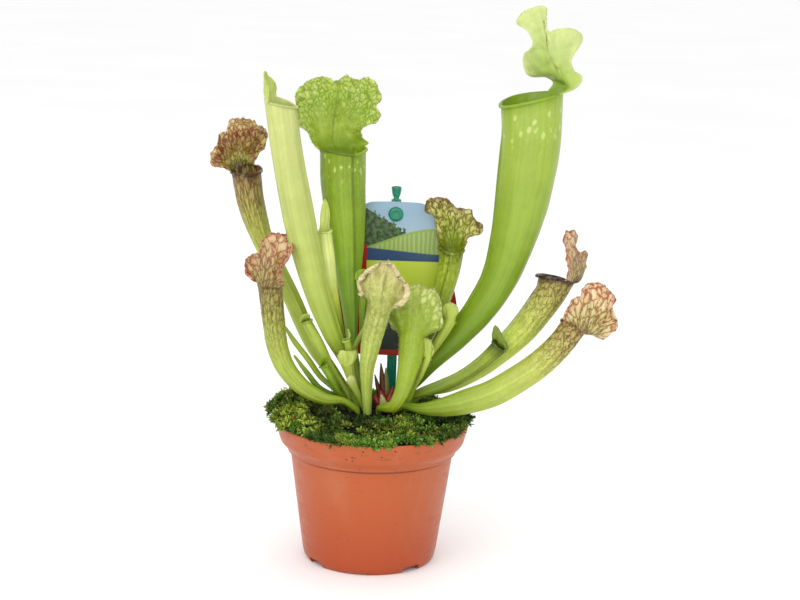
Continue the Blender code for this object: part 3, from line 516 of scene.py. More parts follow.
class Lid:
    """Surface of one hood, drawn between its foot on the mouth and its edge."""

    CORNER = 0.6            # how much height counts against width in finding a corner
    STEPS = 240             # steps in which an outline's length is measured
    NOTCHES = ((0.9, 2.1, 0.0), (0.5, 1.1, 3.0))    # depth, size in mm and shift of each layer
    SHORT = 6.0             # closer than this to the rear point a notch is no deeper, mm
    SET_IN = (0.0, 0.2)     # shares of the height over which ruffles and notches set in
    CLEAR = (0.0, 0.3)      # the same for the curl and the fold
    NECK = 0.3              # how far the ruffles' centre lies below the mouth, share of height
    HEART = 0.42            # height that the curl draws to, share of height

    def __init__(self, hood: Hood, feet: list[Vector], rear: Vector, rows: int,
                 folds: list[float]) -> None:
        """Lay the hood's four sides out on its own plane.

        Args:
            hood: The hood.
            feet: Points of the mouth that it grows from, mm.
            rear: The rear point of the mouth, mm.
            rows: Rows from the mouth to the top.
            folds: How far the tube's folds stand out at each foot, mm.
        """
        angle = math.radians(hood.face)
        lean = math.radians(hood.lean)
        level = Vector((math.cos(angle), math.sin(angle), 0.0))
        side = Vector((-level.y, level.x, 0.0))
        self.hood = hood
        self.rear = rear
        self.rows = rows
        self.cells = len(feet) - 1
        self.side = side if side.x > 0 else -side
        self.up = Vector((0.0, 0.0, math.cos(lean))) + level * math.sin(lean)
        self.out = level * math.cos(lean) - Vector((0.0, 0.0, math.sin(lean)))
        flats = []
        for foot in feet:
            way = foot - rear
            flats.append((way.dot(self.side), way.dot(self.up), way.dot(self.out)))
        self.folds = list(folds)
        self.turned = flats[0][0] > flats[-1][0]
        if self.turned:
            flats.reverse()
            self.folds.reverse()
        self.bottom = [Vector((x, y)) for x, y, _ in flats]
        self.depths = [d for _, _, d in flats]
        self.half = max(abs(x) for x, _ in hood.edge)
        self.tall = max(y for _, y in hood.edge)
        count = len(hood.edge)
        left_corner, right_corner = (
            max(range(count), key=lambda i: self.CORNER * hood.edge[i][1] + hand * hood.edge[i][0])
            for hand in (-1, 1))
        path = [self.bottom[0], *(Vector(spot) for spot in hood.edge), self.bottom[-1]]
        self.left, self.left_bites = self.even(path, 0, left_corner + 1, rows)
        self.top, self.top_bites = self.even(path, left_corner + 1, right_corner + 1, self.cells)
        right, bites = self.even(path, right_corner + 1, count + 1, rows)
        self.right, self.right_bites = right[::-1], bites[::-1]
        raw = [(a + b) / 2 for a, b in zip(self.left, self.right)]
        self.calm = []
        for row in range(rows + 1):
            reach = min(row, rows - row, rows // 3)
            near = raw[row - reach:row + reach + 1]
            self.calm.append(sum(near, Vector((0.0, 0.0))) / len(near) - raw[row])

    def even(self, path: list[Vector], first: int, last: int,
             cells: int) -> tuple[list[Vector], list[Vector]]:
        """Give points of a stretch of the outline, even in length.

        Args:
            path: The whole outline.
            first: Where the stretch starts, as a place in the list.
            last: Where it ends.
            cells: Steps along it.

        Returns:
            The points, and the small bite at each.
        """
        whole = len(path) - 1
        dense = [spline(path, (first + (last - first) * i / self.STEPS) / whole)
                 for i in range(self.STEPS + 1)]
        gone = [0.0]
        for a, b in zip(dense, dense[1:]):
            gone.append(gone[-1] + (b - a).length)
        points = []
        bites = []
        step = 0
        for i in range(cells + 1):
            goal = gone[-1] * i / cells
            while step < self.STEPS - 1 and gone[step + 1] < goal:
                step += 1
            share = (goal - gone[step]) / max(gone[step + 1] - gone[step], 1e-9)
            flat = dense[step].lerp(dense[step + 1], min(share, 1.0))
            bite = sum(depth * crumple(flat.x, flat.y, shift + self.hood.phase, size)
                       for depth, size, shift in self.NOTCHES)
            points.append(flat)
            bites.append(flat * self.hood.frill * bite / max(flat.length, self.SHORT))
        return points, bites

    def flat(self, column: int, row: int) -> tuple[float, float, float, float, float]:
        """Give a place on the hood's plane.

        Args:
            column: The column.
            row: The row, from 0 at the mouth.

        Returns:
            Place across and up in mm, share across and up, and how near the margin it is.
        """
        column = self.cells - column if self.turned else column
        u = column / self.cells
        v = row / self.rows
        low, high = self.left[0].lerp(self.right[0], u), self.left[-1].lerp(self.right[-1], u)
        spot = self.left[row].lerp(self.right[row], u) + self.calm[row] * (1 - (2 * u - 1) ** 2)
        spot = spot + (1 - ease(0.0, self.hood.hold, v)) * (self.bottom[column] - low)
        spot = spot + v ** 1.5 * (self.top[column] - high)
        bite = self.left_bites[row] * (1 - u) ** 10 + self.right_bites[row] * u ** 10
        bite = bite * (1 - v ** 10) + self.top_bites[column] * v ** 10
        spot = spot + bite * ease(*self.SET_IN, v)
        sides = abs(2 * u - 1) ** 4 * ease(0.0, 0.35, v)
        return spot.x, spot.y, u, v, 1 - (1 - v * v) * (1 - sides)

    def polar(self, column: int, row: int) -> tuple[float, float]:
        """Give the turn about the neck and the reach from it, radians and mm."""
        x, y, *_ = self.flat(column, row)
        rise = y + self.NECK * self.tall
        return math.atan2(x, rise), math.hypot(x, rise)

    def point(self, column: int, row: int) -> Vector:
        """Give a point of the hood in space, mm."""
        hood = self.hood
        x, y, _, v, near = self.flat(column, row)
        turn, _ = self.polar(column, row)
        column = self.cells - column if self.turned else column
        fade = 1 - ease(0.0, hood.hold, v)
        set_in = ease(*self.SET_IN, v)
        clear = ease(*self.CLEAR, v)
        sway = math.sin(2 * hood.waves * turn + hood.phase)
        sway += 0.45 * math.sin(4.7 * hood.waves * turn + 3 * hood.phase)
        sway = math.copysign(abs(sway) ** 0.75, sway)
        bend = hood.cup * (x / self.half) ** 2 + hood.crest * (max(y, 0.0) / self.tall) ** 2
        depth = self.depths[column] * fade + bend * (1 - fade)
        depth -= self.folds[column] * 4 * ease(0.0, 0.4, v) * (1 - ease(0.5, 1.0, v))
        depth += hood.ruffle * sway * near ** hood.spread * set_in
        depth += hood.crumple * crumple(x, y, 2.0 * hood.phase, 4.5) * ease(0.05, 0.4, v)
        depth += 1.6 * hood.frill * crumple(x, y, 7.0 + hood.phase, 2.2) * near ** 2.5
        depth -= hood.roll * ease(0.55, 1.0, near) * set_in
        turn_in = 0.15 * ease(0.2, 0.72, near) - 0.29 * ease(0.72, 1.0, near)
        turn_in *= hood.curl * clear
        x, y = x * (1 + turn_in), y + (y - self.HEART * self.tall) * turn_in
        if hood.fold:
            x0, y0, x1, y1 = hood.spine
            beside = x - x0 - (x1 - x0) * min(max((y - y0) / (y1 - y0), 0.0), 1.0)
            depth -= hood.fold * max(beside, 0.0) * clear
            depth += 0.8 * math.exp(-(beside / 0.9) ** 2) * clear * (1 - near ** 3)
        return self.rear + self.side * x + self.up * y + self.out * depth


@dataclass(frozen=True)
class Pitcher:
    """Hollow trumpet leaf: a route up its middle with its widths, its mouth and its hood."""

    LIP_ROWS = 6
    LIP_TURN = math.radians(235)    # how far the lip rolls
    CROWD = 1.5                     # how the columns crowd towards the keel
    RIB_SHIFT = 0.8                 # turn of the folds about the tube, radians
    KEEL = 0.55                     # half width of the keel's edge, mm
    SHOULDER = (0.35, 0.3)          # height of the keel's foot, share of it, and its width
    LUMPS = (0.022, 13.0)           # depth of the dents, share of the radius, and size in mm
    SPOUT = 0.75                    # half width of the spout, radians

    node: str
    slot: str
    route: Route
    facing: float
    hood: Hood
    finish: LeafFinish
    neck: float = 65.0      # half of the mouth that the hood's foot takes, degrees
    tilt: float = -0.15     # rise of the front lip over the middle, share of its radius
    wing: float = 1.6       # height of the keel down the front, mm
    depth: float = 1.0      # size front to back, share of the width
    lip: float = 1.0        # reach of the rolled lip, mm
    front_cells: int = 16
    back_cells: int = 56
    rows: int = 54
    hood_rows: int = 24
    wall: float = 0.75
    ribs: int = 9
    rib: float = 0.12       # height of the folds along the tube, mm
    cell: float = 5.0       # length of one vein cell, mm
    mesh: float = 2.6       # width of one vein cell on the hood, mm
    lanes: int = 14         # vein cells round the tube
    sway: float = 0.5       # rise and fall of the mouth's edge, mm
    spout: float = 0.6      # how far the front of the mouth dips and flares, mm

    def build(self) -> Object:
        """Build the leaf as one skin with a wall.

        Returns:
            The leaf.
        """
        rings = stations(self.route, self.facing, self.rows)
        angles = self.columns()
        columns = len(angles) - 1
        first = self.front_cells
        mouth = rings[-1]
        lid = self.crown(mouth)
        lengths = [0.0]
        for low, high in zip(rings, rings[1:]):
            lengths.append(lengths[-1] + (high[0] - low[0]).length)
        total = lengths[-1]

        def tube(column: int, row: int) -> Vector:
            """Give a point of the tube."""
            return self.skin(rings[row], angles[column], row / self.rows)

        def tube_mark(column: int, row: int) -> Spot:
            """Chart a point of the tube."""
            turn = angles[column] / math.tau
            return (turn * self.lanes, lengths[row] / self.cell, turn, lengths[row] / total)

        def lip(column: int, row: int) -> Vector:
            """Give a point of the rolled lip."""
            turn = self.lip_angle(column)
            end = abs(column - first) / first
            slim = (1 - 0.4 * ease(0.1, 0.7, end)) * (1 - 0.8 * ease(0.75, 1.0, end))
            size = self.lip / 2 * slim
            roll = self.LIP_TURN * row / self.LIP_ROWS
            return self.skin(mouth, turn, 1.0, size * (1 - math.cos(roll)), size * math.sin(roll))

        def lip_mark(column: int, row: int) -> Spot:
            """Chart a point of the rolled lip."""
            turn = self.lip_angle(column) / math.tau
            return (turn * self.lanes, total / self.cell + row * 0.1, turn, 1.0)

        def lid_mark(column: int, row: int) -> Spot:
            """Chart a point of the hood."""
            turn, reach = lid.polar(column, row)
            _, _, across, _, near = lid.flat(column, row)
            return (turn * lid.tall / self.mesh + 40.0, reach / self.mesh / 1.5 + 100.0,
                    0.3 + 0.4 * across, 1.0 + near)

        skin = LeafMesh()
        skin.patch(columns, self.rows, tube, tube_mark)
        skin.patch(2 * first, self.LIP_ROWS, lip, lip_mark)
        skin.patch(self.back_cells, self.hood_rows, lid.point, lid_mark)
        close_up(skin.bm)
        outwards(skin.bm, rings[self.rows // 2][0])
        made = finished(self.node, skin.bm, self.finish.make(), self.slot, self.node)
        thicken(made, self.wall)
        return made

    def crown(self, mouth: Ring) -> Lid:
        """Lay out the hood on the mouth.

        Args:
            mouth: The topmost ring.

        Returns:
            The hood.
        """
        turns = self.columns()[self.front_cells:self.front_cells + self.back_cells + 1]
        feet = [self.skin(mouth, turn, 1.0) for turn in turns]
        folds = [self.folded(turn) for turn in turns]
        return Lid(self.hood, feet, self.skin(mouth, math.pi, 1.0), self.hood_rows, folds)

    def folded(self, turn: float) -> float:
        """Give how far the folds along the tube stand out at an angle, mm."""
        return self.rib * math.cos(self.ribs * (turn - math.pi) + self.RIB_SHIFT)

    def columns(self) -> list[float]:
        """Give the angle of each column, closer together at the keel.

        Returns:
            Angles in radians, from the keel right round to it.
        """
        neck = math.radians(self.neck)
        front = self.front_cells
        right = [(math.pi - neck) * (i / front) ** self.CROWD for i in range(front)]
        middle = [math.pi - neck + 2 * neck * i / self.back_cells for i in range(self.back_cells)]
        left = [math.tau - turn for turn in reversed(right)]
        return right + middle + [math.pi + neck] + left

    def lip_angle(self, column: int) -> float:
        """Give the angle of a column of the lip, from one end of the neck over the front."""
        share = (column - self.front_cells) / self.front_cells
        reach = math.pi - math.radians(self.neck)
        return math.copysign(reach * abs(share) ** self.CROWD, share)

    def skin(self, ring: Ring, angle: float, share: float, out: float = 0.0,
             up: float = 0.0) -> Vector:
        """Give a point of the leaf's skin.

        Args:
            ring: The ring that the point is on.
            angle: Angle from the front, radians.
            share: Share of the length, from the root.
            out: How far it stands out, mm.
            up: How far it stands up, mm.

        Returns:
            The point, mm.
        """
        centre, radius, aim, front, side = ring
        off = math.remainder(angle, math.tau)
        low, broad = self.SHOULDER
        keel = math.exp(-(off * radius / self.KEEL) ** 2) + low * math.exp(-(off / broad) ** 2)
        keel *= self.wing * ease(0.08, 0.4, share) * (1 - ease(0.82, 0.99, share))
        folds = self.folded(angle) * ease(0.1, 0.4, share)
        flat = centre + front * math.cos(angle) * radius + side * math.sin(angle) * radius
        dent, size = self.LUMPS
        lump = dent * radius * crumple(*flat, size) * (1 - ease(0.9, 1.0, share))
        spout = self.spout * math.exp(-(off / self.SPOUT) ** 2) * ease(0.88, 1.0, share) ** 2
        reach = radius + keel + folds + lump + out + 0.7 * spout
        rise = self.tilt * radius * math.cos(angle) + self.sway * math.cos(2 * off + 1.9)
        rise = rise * ease(0.75, 1.0, share) + up - spout
        return (centre + front * reach * self.depth * math.cos(angle)
                + side * reach * math.sin(angle) + aim * rise)


def stations(route: Route, facing: float, rows: int) -> list[Ring]:
    """Give the rings of a leaf, root first.

    Args:
        route: x, y, z and width at each point, mm.
        facing: Where the mouth looks, degrees round from +X.
        rows: Rings from the soil to the mouth.

    Returns:
        Centre, radius, along, front and side at each ring.
    """
    points = [Vector(p) for p in route]
    shares = [i / (rows - 1) for i in range(rows)]
    samples = [spline(points, share) for share in shares]
    aims = []
    for share in shares:
        ahead = spline(points, share + 0.01)
        behind = spline(points, share - 0.01)
        aims.append((ahead - behind).to_3d().normalized())
    root = points[0].copy()
    root.z = ROOT_LEVEL
    samples.insert(0, root)
    aims.insert(0, Vector((0.0, 0.0, 1.0)))
    angle = math.radians(facing)
    front = Vector((math.cos(angle), math.sin(angle), 0.0))
    rings = []
    for sample, aim in zip(reversed(samples), reversed(aims)):
        front = (front - front.dot(aim) * aim).normalized()
        rings.append((sample.to_3d(), sample.w / 2, aim, front.copy(), aim.cross(front)))
    return rings[::-1]


def spline(points: list[Vector], share: float) -> Vector:
    """Give a point of a smooth curve through a list of points.

    Args:
        points: The points.
        share: Share of the way along.

    Returns:
        The point.
    """
    last = len(points) - 1
    along = share * last
    i = min(max(math.floor(along), 0), last - 1)
    u = along - i
    b = points[i]
    c = points[i + 1]
    a = points[i - 1] if i else 2 * b - c
    d = points[i + 2] if i + 2 <= last else 2 * c - b
    span = (c - b).length
    leave = (c - a) * span / (span + (b - a).length)
    arrive = (d - b) * span / (span + (d - c).length)
    return ((2 * u ** 3 - 3 * u ** 2 + 1) * b + (u ** 3 - 2 * u ** 2 + u) * leave
            + (3 * u ** 2 - 2 * u ** 3) * c + (u ** 3 - u ** 2) * arrive)


class LeafMesh:
    """Mesh with the two charts of a leaf: the net of its veins, and the way round and up."""

    def __init__(self) -> None:
        """Start an empty mesh."""
        self.bm = bmesh.new()
        self.net = self.bm.loops.layers.uv.new("net")
        self.growth = self.bm.loops.layers.uv.new("growth")

    def patch(self, columns: int, rows: int, place: Place, mark: Mark) -> None:
        """Add a grid of cells, put each vertex in its place and chart its corners.

        Args:
            columns: Cells across.
            rows: Cells up.
            place: Gives a vertex's place in millimetres from its column and row.
            mark: Gives the two places in each chart from the column and row.
        """
        spots = grid(self.bm, columns, rows)
        done = set()
        for vertex, (column, row) in spots.items():
            vertex.co = (place(column, row) + AXIS) * MM
            spot = mark(column, row)
            for loop in vertex.link_loops:
                if loop not in done:
                    done.add(loop)
                    loop[self.net].uv = spot[:2]
                    loop[self.growth].uv = spot[2:]


def grid(bm: BMesh, columns: int, rows: int) -> dict[bmesh.types.BMVert, tuple[int, int]]:
    """Add a flat grid of cells.

    Args:
        bm: The mesh that takes it.
        columns: Cells across.
        rows: Cells up.

    Returns:
        The column and row of each new vertex.
    """
    made = bmesh.ops.create_grid(bm, x_segments=columns, y_segments=rows, size=0.5)["verts"]
    return {vertex: (round((vertex.co.x + 0.5) * columns), round((vertex.co.y + 0.5) * rows))
            for vertex in made}


def stored(name: str, bm: BMesh) -> bpy.types.Mesh:
    """Turn a working mesh into a stored one and free it."""
    mesh = bpy.data.meshes.new(name)
    bm.to_mesh(mesh)
    bm.free()
    return mesh


def linked(name: str, data: bpy.types.ID) -> Object:
    """Put a new object in the scene."""
    made = bpy.data.objects.new(name, data)
    bpy.context.scene.collection.objects.link(made)
    return made


def absorb(bm: BMesh, part: BMesh) -> None:
    """Add a part to a mesh and free the part."""
    mesh = stored("part", part)
    bm.from_mesh(mesh)
    bpy.data.meshes.remove(mesh)


def to_model(bm: BMesh) -> None:
    """Move a mesh from millimetres about the pot's axis to its place in the model."""
    bmesh.ops.translate(bm, vec=AXIS, verts=bm.verts[:])
    bmesh.ops.scale(bm, vec=(MM, MM, MM), verts=bm.verts[:])


def close_up(bm: BMesh) -> None:
    """Merge the doubles of a mesh and turn its faces outwards."""
    bmesh.ops.remove_doubles(bm, verts=bm.verts[:], dist=MERGE)
    bmesh.ops.recalc_face_normals(bm, faces=bm.faces[:])


def settle(bm: BMesh) -> None:
    """Bring a mesh in millimetres to its place in the model and close it up."""
    to_model(bm)
    close_up(bm)


def outwards(bm: BMesh, middle: Vector) -> None:
    """Turn an open skin right side out.

    Args:
        bm: The skin.
        middle: A point on the axis of the tube, mm.
    """
    centre = (middle + AXIS) * MM
    nearest = min(bm.faces, key=lambda face: (face.calc_center_median() - centre).length)
    if nearest.normal.dot(nearest.calc_center_median() - centre) < 0:
        bmesh.ops.reverse_faces(bm, faces=bm.faces[:])


def finished(name: str, bm: BMesh, finish: Material, slot: str, *nodes: str,
             smooth: bool = True) -> Object:
    """Turn a mesh into a piece of the plant that rides on the model.

    Args:
        name: The node's name, which the piece takes with _skin after it.
        bm: The mesh, which is freed.
        finish: Its material.
        slot: The record's material slot; not used.
        *nodes: Nodes that it stands for.
        smooth: Shade it smooth.

    Returns:
        The piece.
    """
    mesh = stored(name + "_skin", bm)
    if smooth:
        mesh.shade_smooth()
    mesh.materials.append(finish)
    made = linked(name + "_skin", mesh)
    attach(made, "root")
    if nodes:
        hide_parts(*nodes)
    return made


def thicken(made: Object, wall: float) -> None:
    """Give a skin its wall, inwards.

    Args:
        made: The skin.
        wall: Thickness, mm.
    """
    step = made.modifiers.new("wall", "SOLIDIFY")
    step.thickness = wall * MM
    step.offset = -1.0
    step.use_even_offset = False


@dataclass(frozen=True)
class DownFinish:
    """Pale hairs, a little browner at the root."""

    root: Paint = (196, 188, 120)
    tip: Paint = (240, 238, 206)

    def make(self) -> Material:
        """Write the hairs' material.

        Returns:
            The material.
        """
        mix = Recipe("leaf_hairs")
        tone = mix.blend(mix.attribute("tip"), paint(*self.root), paint(*self.tip))
        shade = mix.span(mix.clouds(mix.place(), 300.0, 2.0), 0.3, 0.7, 0.85, 1.05)
        mix.coat(base_color=mix.shaded(tone, shade), roughness=0.5,
                 specular_ior_level=0.3, subsurface_weight=0.2, subsurface_scale=0.001)
        return mix.material


@dataclass(frozen=True)
class Down:
    """Short hairs all over a hood, thickest at its margin, and down the top of its tube."""

    TUFT = 40               # hairs that are made in one go
    ON_TUBE = 5             # one hair in so many stands on the tube
    ON_TOP = 0.55           # share of the margin's hairs that stand on its top
    THICK = (0.085, 0.02)   # radius at the root and at the tip, mm

    leaf: Pitcher
    count: int
    length: float = 1.3     # mm
    seed: int = 3

    def build(self) -> Object:
        """Build the hairs as one piece.

        Returns:
            The hairs.
        """
        leaf = self.leaf
        rings = stations(leaf.route, leaf.facing, leaf.rows)
        lid = leaf.crown(rings[-1])
        draw = random.Random(self.seed)
        bm = bmesh.new()
        bm.verts.layers.float.new("tip")
        for start in range(0, self.count, self.TUFT):
            tuft = bmesh.new()
            tip = tuft.verts.layers.float.new("tip")
            for index in range(start, min(start + self.TUFT, self.count)):
                if index % self.ON_TUBE == 0:
                    ring = rings[draw.randint(leaf.rows * 3 // 4, leaf.rows - 1)]
                    root = leaf.skin(ring, draw.uniform(0, math.tau), 0.9)
                    way = (root - ring[0]).normalized() + ring[2] * 0.5
                else:
                    root, way = self.on_hood(lid, draw, index % 2 == 0)
                jitter = Vector([draw.uniform(-0.4, 0.4) for _ in range(3)])
                self.hair(tuft, tip, root, (way.normalized() + jitter).normalized(),
                          self.length * draw.uniform(0.5, 1.15))
            absorb(bm, tuft)
        to_model(bm)
        bmesh.ops.recalc_face_normals(bm, faces=bm.faces[:])
        return finished(leaf.node + "_hairs", bm, DownFinish().make(), leaf.slot)

    def on_hood(self, lid: Lid, draw: random.Random, margin: bool) -> tuple[Vector, Vector]:
        """Pick a root on the hood and the way that the hair points.

        Args:
            lid: The hood.
            draw: The seeded source of chance.
            margin: Stand it on the margin, or else on either side of the blade.

        Returns:
            The root in mm and the direction.
        """
        column = draw.randint(1, lid.cells - 1)
        row = draw.randint(3, lid.rows - 1)
        if margin and draw.random() < self.ON_TOP:
            row = lid.rows
        elif margin:
            column = draw.choice((0, lid.cells))
        near_column = column + (1 if column < lid.cells else -1)
        near_row = row - 1
        root = lid.point(column, row)
        across = lid.point(near_column, row) - root
        along = lid.point(column, near_row) - root
        share = draw.random()
        if margin:
            inwards = along if row == lid.rows else across
            other = across if row == lid.rows else along
            return root + other * share + inwards.normalized() * 0.2, -inwards
        normal = across.cross(along).normalized() * draw.choice((-1.0, 1.0))
        spot = root + across * share + along * draw.random() - normal * 0.1
        return spot, normal - along * 0.6

    def hair(self, bm: BMesh, tip: object, root: Vector, way: Vector, length: float) -> None:
        """Add one slim three-sided hair.

        Args:
            bm: The mesh.
            tip: Layer of how near a vertex is to the hair's tip.
            root: Where it stands, mm.
            way: Where it points, a unit vector.
            length: Its length, mm.
        """
        turn = Vector((0, 0, 1)).rotation_difference(way).to_matrix().to_4x4()
        spot = Matrix.Translation(root + way * length * 0.45)
        made = bmesh.ops.create_cone(bm, cap_ends=True, segments=3, radius1=self.THICK[0],
                                     radius2=self.THICK[1], depth=length)["verts"]
        for vertex in made:
            vertex[tip] = 1.0 if vertex.co.z > 0 else 0.0
        bmesh.ops.transform(bm, matrix=spot @ turn, verts=made)


@dataclass(frozen=True)
class Blade:
    """Thin solid leaf with a pointed tip."""

    KEEL = 0.25             # height of the keel, share of the half depth
    CREASE = 0.35           # depth of the crease on the other side
    NET = (8, 14)           # vein cells round and along

    node: str
    slot: str
    route: Route
    facing: float
    finish: "LeafFinish | ShootFinish"
    depth: float = 0.42
    cells: int = 20
    rows: int = 36

    def build(self) -> Object:
        """Build the leaf, closed at both ends.

        Returns:
            The leaf.
        """
        skin = LeafMesh()
        self.lay(skin)
        close_up(skin.bm)
        return finished(self.node, skin.bm, self.finish.make(), self.slot, self.node)

    def lay(self, skin: LeafMesh) -> None:
        """Add the leaf's closed skin to a mesh.

        Args:
            skin: The mesh.
        """
        rings = stations(self.route, self.facing, self.rows)
        tip = rings[-1][0] + rings[-1][2] * rings[-1][1]

        def place(column: int, row: int) -> Vector:
            """Give a point of the leaf."""
            if row == 0:
                return rings[0][0]
            if row == self.rows + 2:
                return tip
            centre, radius, _, front, side = rings[row - 1]
            turn = math.tau * column / self.cells
            keel = self.KEEL * max(math.cos(turn), 0.0) ** 6
            crease = self.CREASE * max(-math.cos(turn), 0.0) ** 8
            reach = math.cos(turn) * (1 - crease) + keel
            return centre + front * radius * self.depth * reach + side * radius * math.sin(turn)

        def mark(column: int, row: int) -> Spot:
            """Chart a point of the leaf."""
            across, share = column / self.cells, row / (self.rows + 2)
            return (across * self.NET[0], share * self.NET[1], across, share)

        skin.patch(self.cells, self.rows + 2, place, mark)


def lathe(bm: BMesh, profile: Sequence[tuple[float, float]], steps: int,
          place: Matrix = Matrix.Identity(4)) -> None:
    """Turn a profile about an upright axis.

    Args:
        bm: The mesh that takes the shape.
        profile: Radii and heights, mm.
        steps: Segments round.
        place: Where the turned shape goes.
    """
    alone = bmesh.new()
    line = [alone.verts.new((r, 0.0, z)) for r, z in profile]
    edges = [alone.edges.new(pair) for pair in zip(line, line[1:])]
    bmesh.ops.spin(alone, geom=line + edges, axis=(0, 0, 1), cent=(0, 0, 0), steps=steps,
                   angle=math.tau, use_merge=True)
    bmesh.ops.transform(alone, matrix=place, verts=alone.verts[:])
    absorb(bm, alone)


def rounded(corners: Sequence[tuple[float, float]], radius: float, steps: int = 3) -> Profile:
    """Round the inner corners of a profile.

    Args:
        corners: Radii and heights, mm.
        radius: How far from a corner the round starts, at most.
        steps: Steps in each round.

    Returns:
        The rounded profile.
    """
    made = [corners[0]]
    for a, b, c in zip(corners, corners[1:], corners[2:]):
        before = Vector(a) - Vector(b)
        after = Vector(c) - Vector(b)
        reach = min(radius, before.length * 0.45, after.length * 0.45)
        start = Vector(b) + before.normalized() * reach
        end = Vector(b) + after.normalized() * reach
        for i in range(steps + 1):
            t = i / steps
            point = start * (1 - t) ** 2 + Vector(b) * 2 * t * (1 - t) + end * t ** 2
            made.append((point.x, point.y))
    return made + [corners[-1]]


@dataclass(frozen=True)
class PotFinish:
    """Satin terracotta plastic with a film of dust and a few specks of peat, painted shade towards
    its foot and a painted shadow under its step.
    """

    body: Paint = (205, 104, 60)
    dust: Paint = (212, 132, 92)
    # painted shade: the colour that the lower part darkens to
    foot: Paint = (192, 84, 42)
    speck: Paint = (84, 46, 26)
    # painted shadow under the ledge of the step
    crease: Paint = (120, 56, 34)
    grime: Paint = (150, 84, 52)

    def make(self) -> Material:
        """Write the pot's material.

        Returns:
            The material.
        """
        mix = Recipe("pot_plastic")
        place = mix.place()
        height = mix.parts(place)[2]
        film = mix.clouds(mix.mapped(place, (1.0, 1.0, 0.35)), 38.0, 6.0, 0.62)
        film = mix.span(film, 0.48, 0.75, 0.0, 0.4)
        tone = mix.blend(film, paint(*self.body), paint(*self.dust))
        # painted shade: darker towards the foot
        low = mix.span(height, 0.0, 0.06, 0.75, 0.0)
        tone = mix.blend(low, tone, paint(*self.foot))
        near, _ = mix.cells(place, 230.0, False, 1.0)
        chance = mix.clouds(place, 46.0, 2.0)
        top = mix.span(height, 0.05, 0.085, 0.25, 1.0)
        dots = mix.times(mix.span(near, 0.1, 0.2, 1.0, 0.0), top)
        dots = mix.times(dots, mix.span(chance, 0.5, 0.6, 0.0, 0.85))
        tone = mix.blend(dots, tone, paint(*self.speck))
        # painted shadow: a dark line under the ledge of the step
        step = mix.span(mix.apart(height, 0.069), 0.0003, 0.0011, 0.75, 0.0)
        tone = mix.blend(step, tone, paint(*self.crease))
        grime = mix.clouds(mix.mapped(place, (1.0, 1.0, 2.5)), 150.0, 6.0, 0.75)
        grime = mix.times(mix.span(grime, 0.56, 0.66), mix.span(height, 0.06, 0.088, 0.15, 0.9))
        tone = mix.blend(grime, tone, paint(*self.grime))
        scuff = mix.clouds(mix.mapped(place, (1.0, 1.0, 6.0)), 60.0, 8.0, 0.7)
        rough = mix.span(scuff, 0.35, 0.75, 0.34, 0.52)
        skin = mix.relief(mix.clouds(place, 1500.0, 2.0), 0.00003)
        skin = mix.relief(mix.clouds(place, 70.0, 2.0), 0.0004, skin)
        mix.coat(base_color=tone, roughness=rough, normal=skin, specular_ior_level=0.45)
        return mix.material


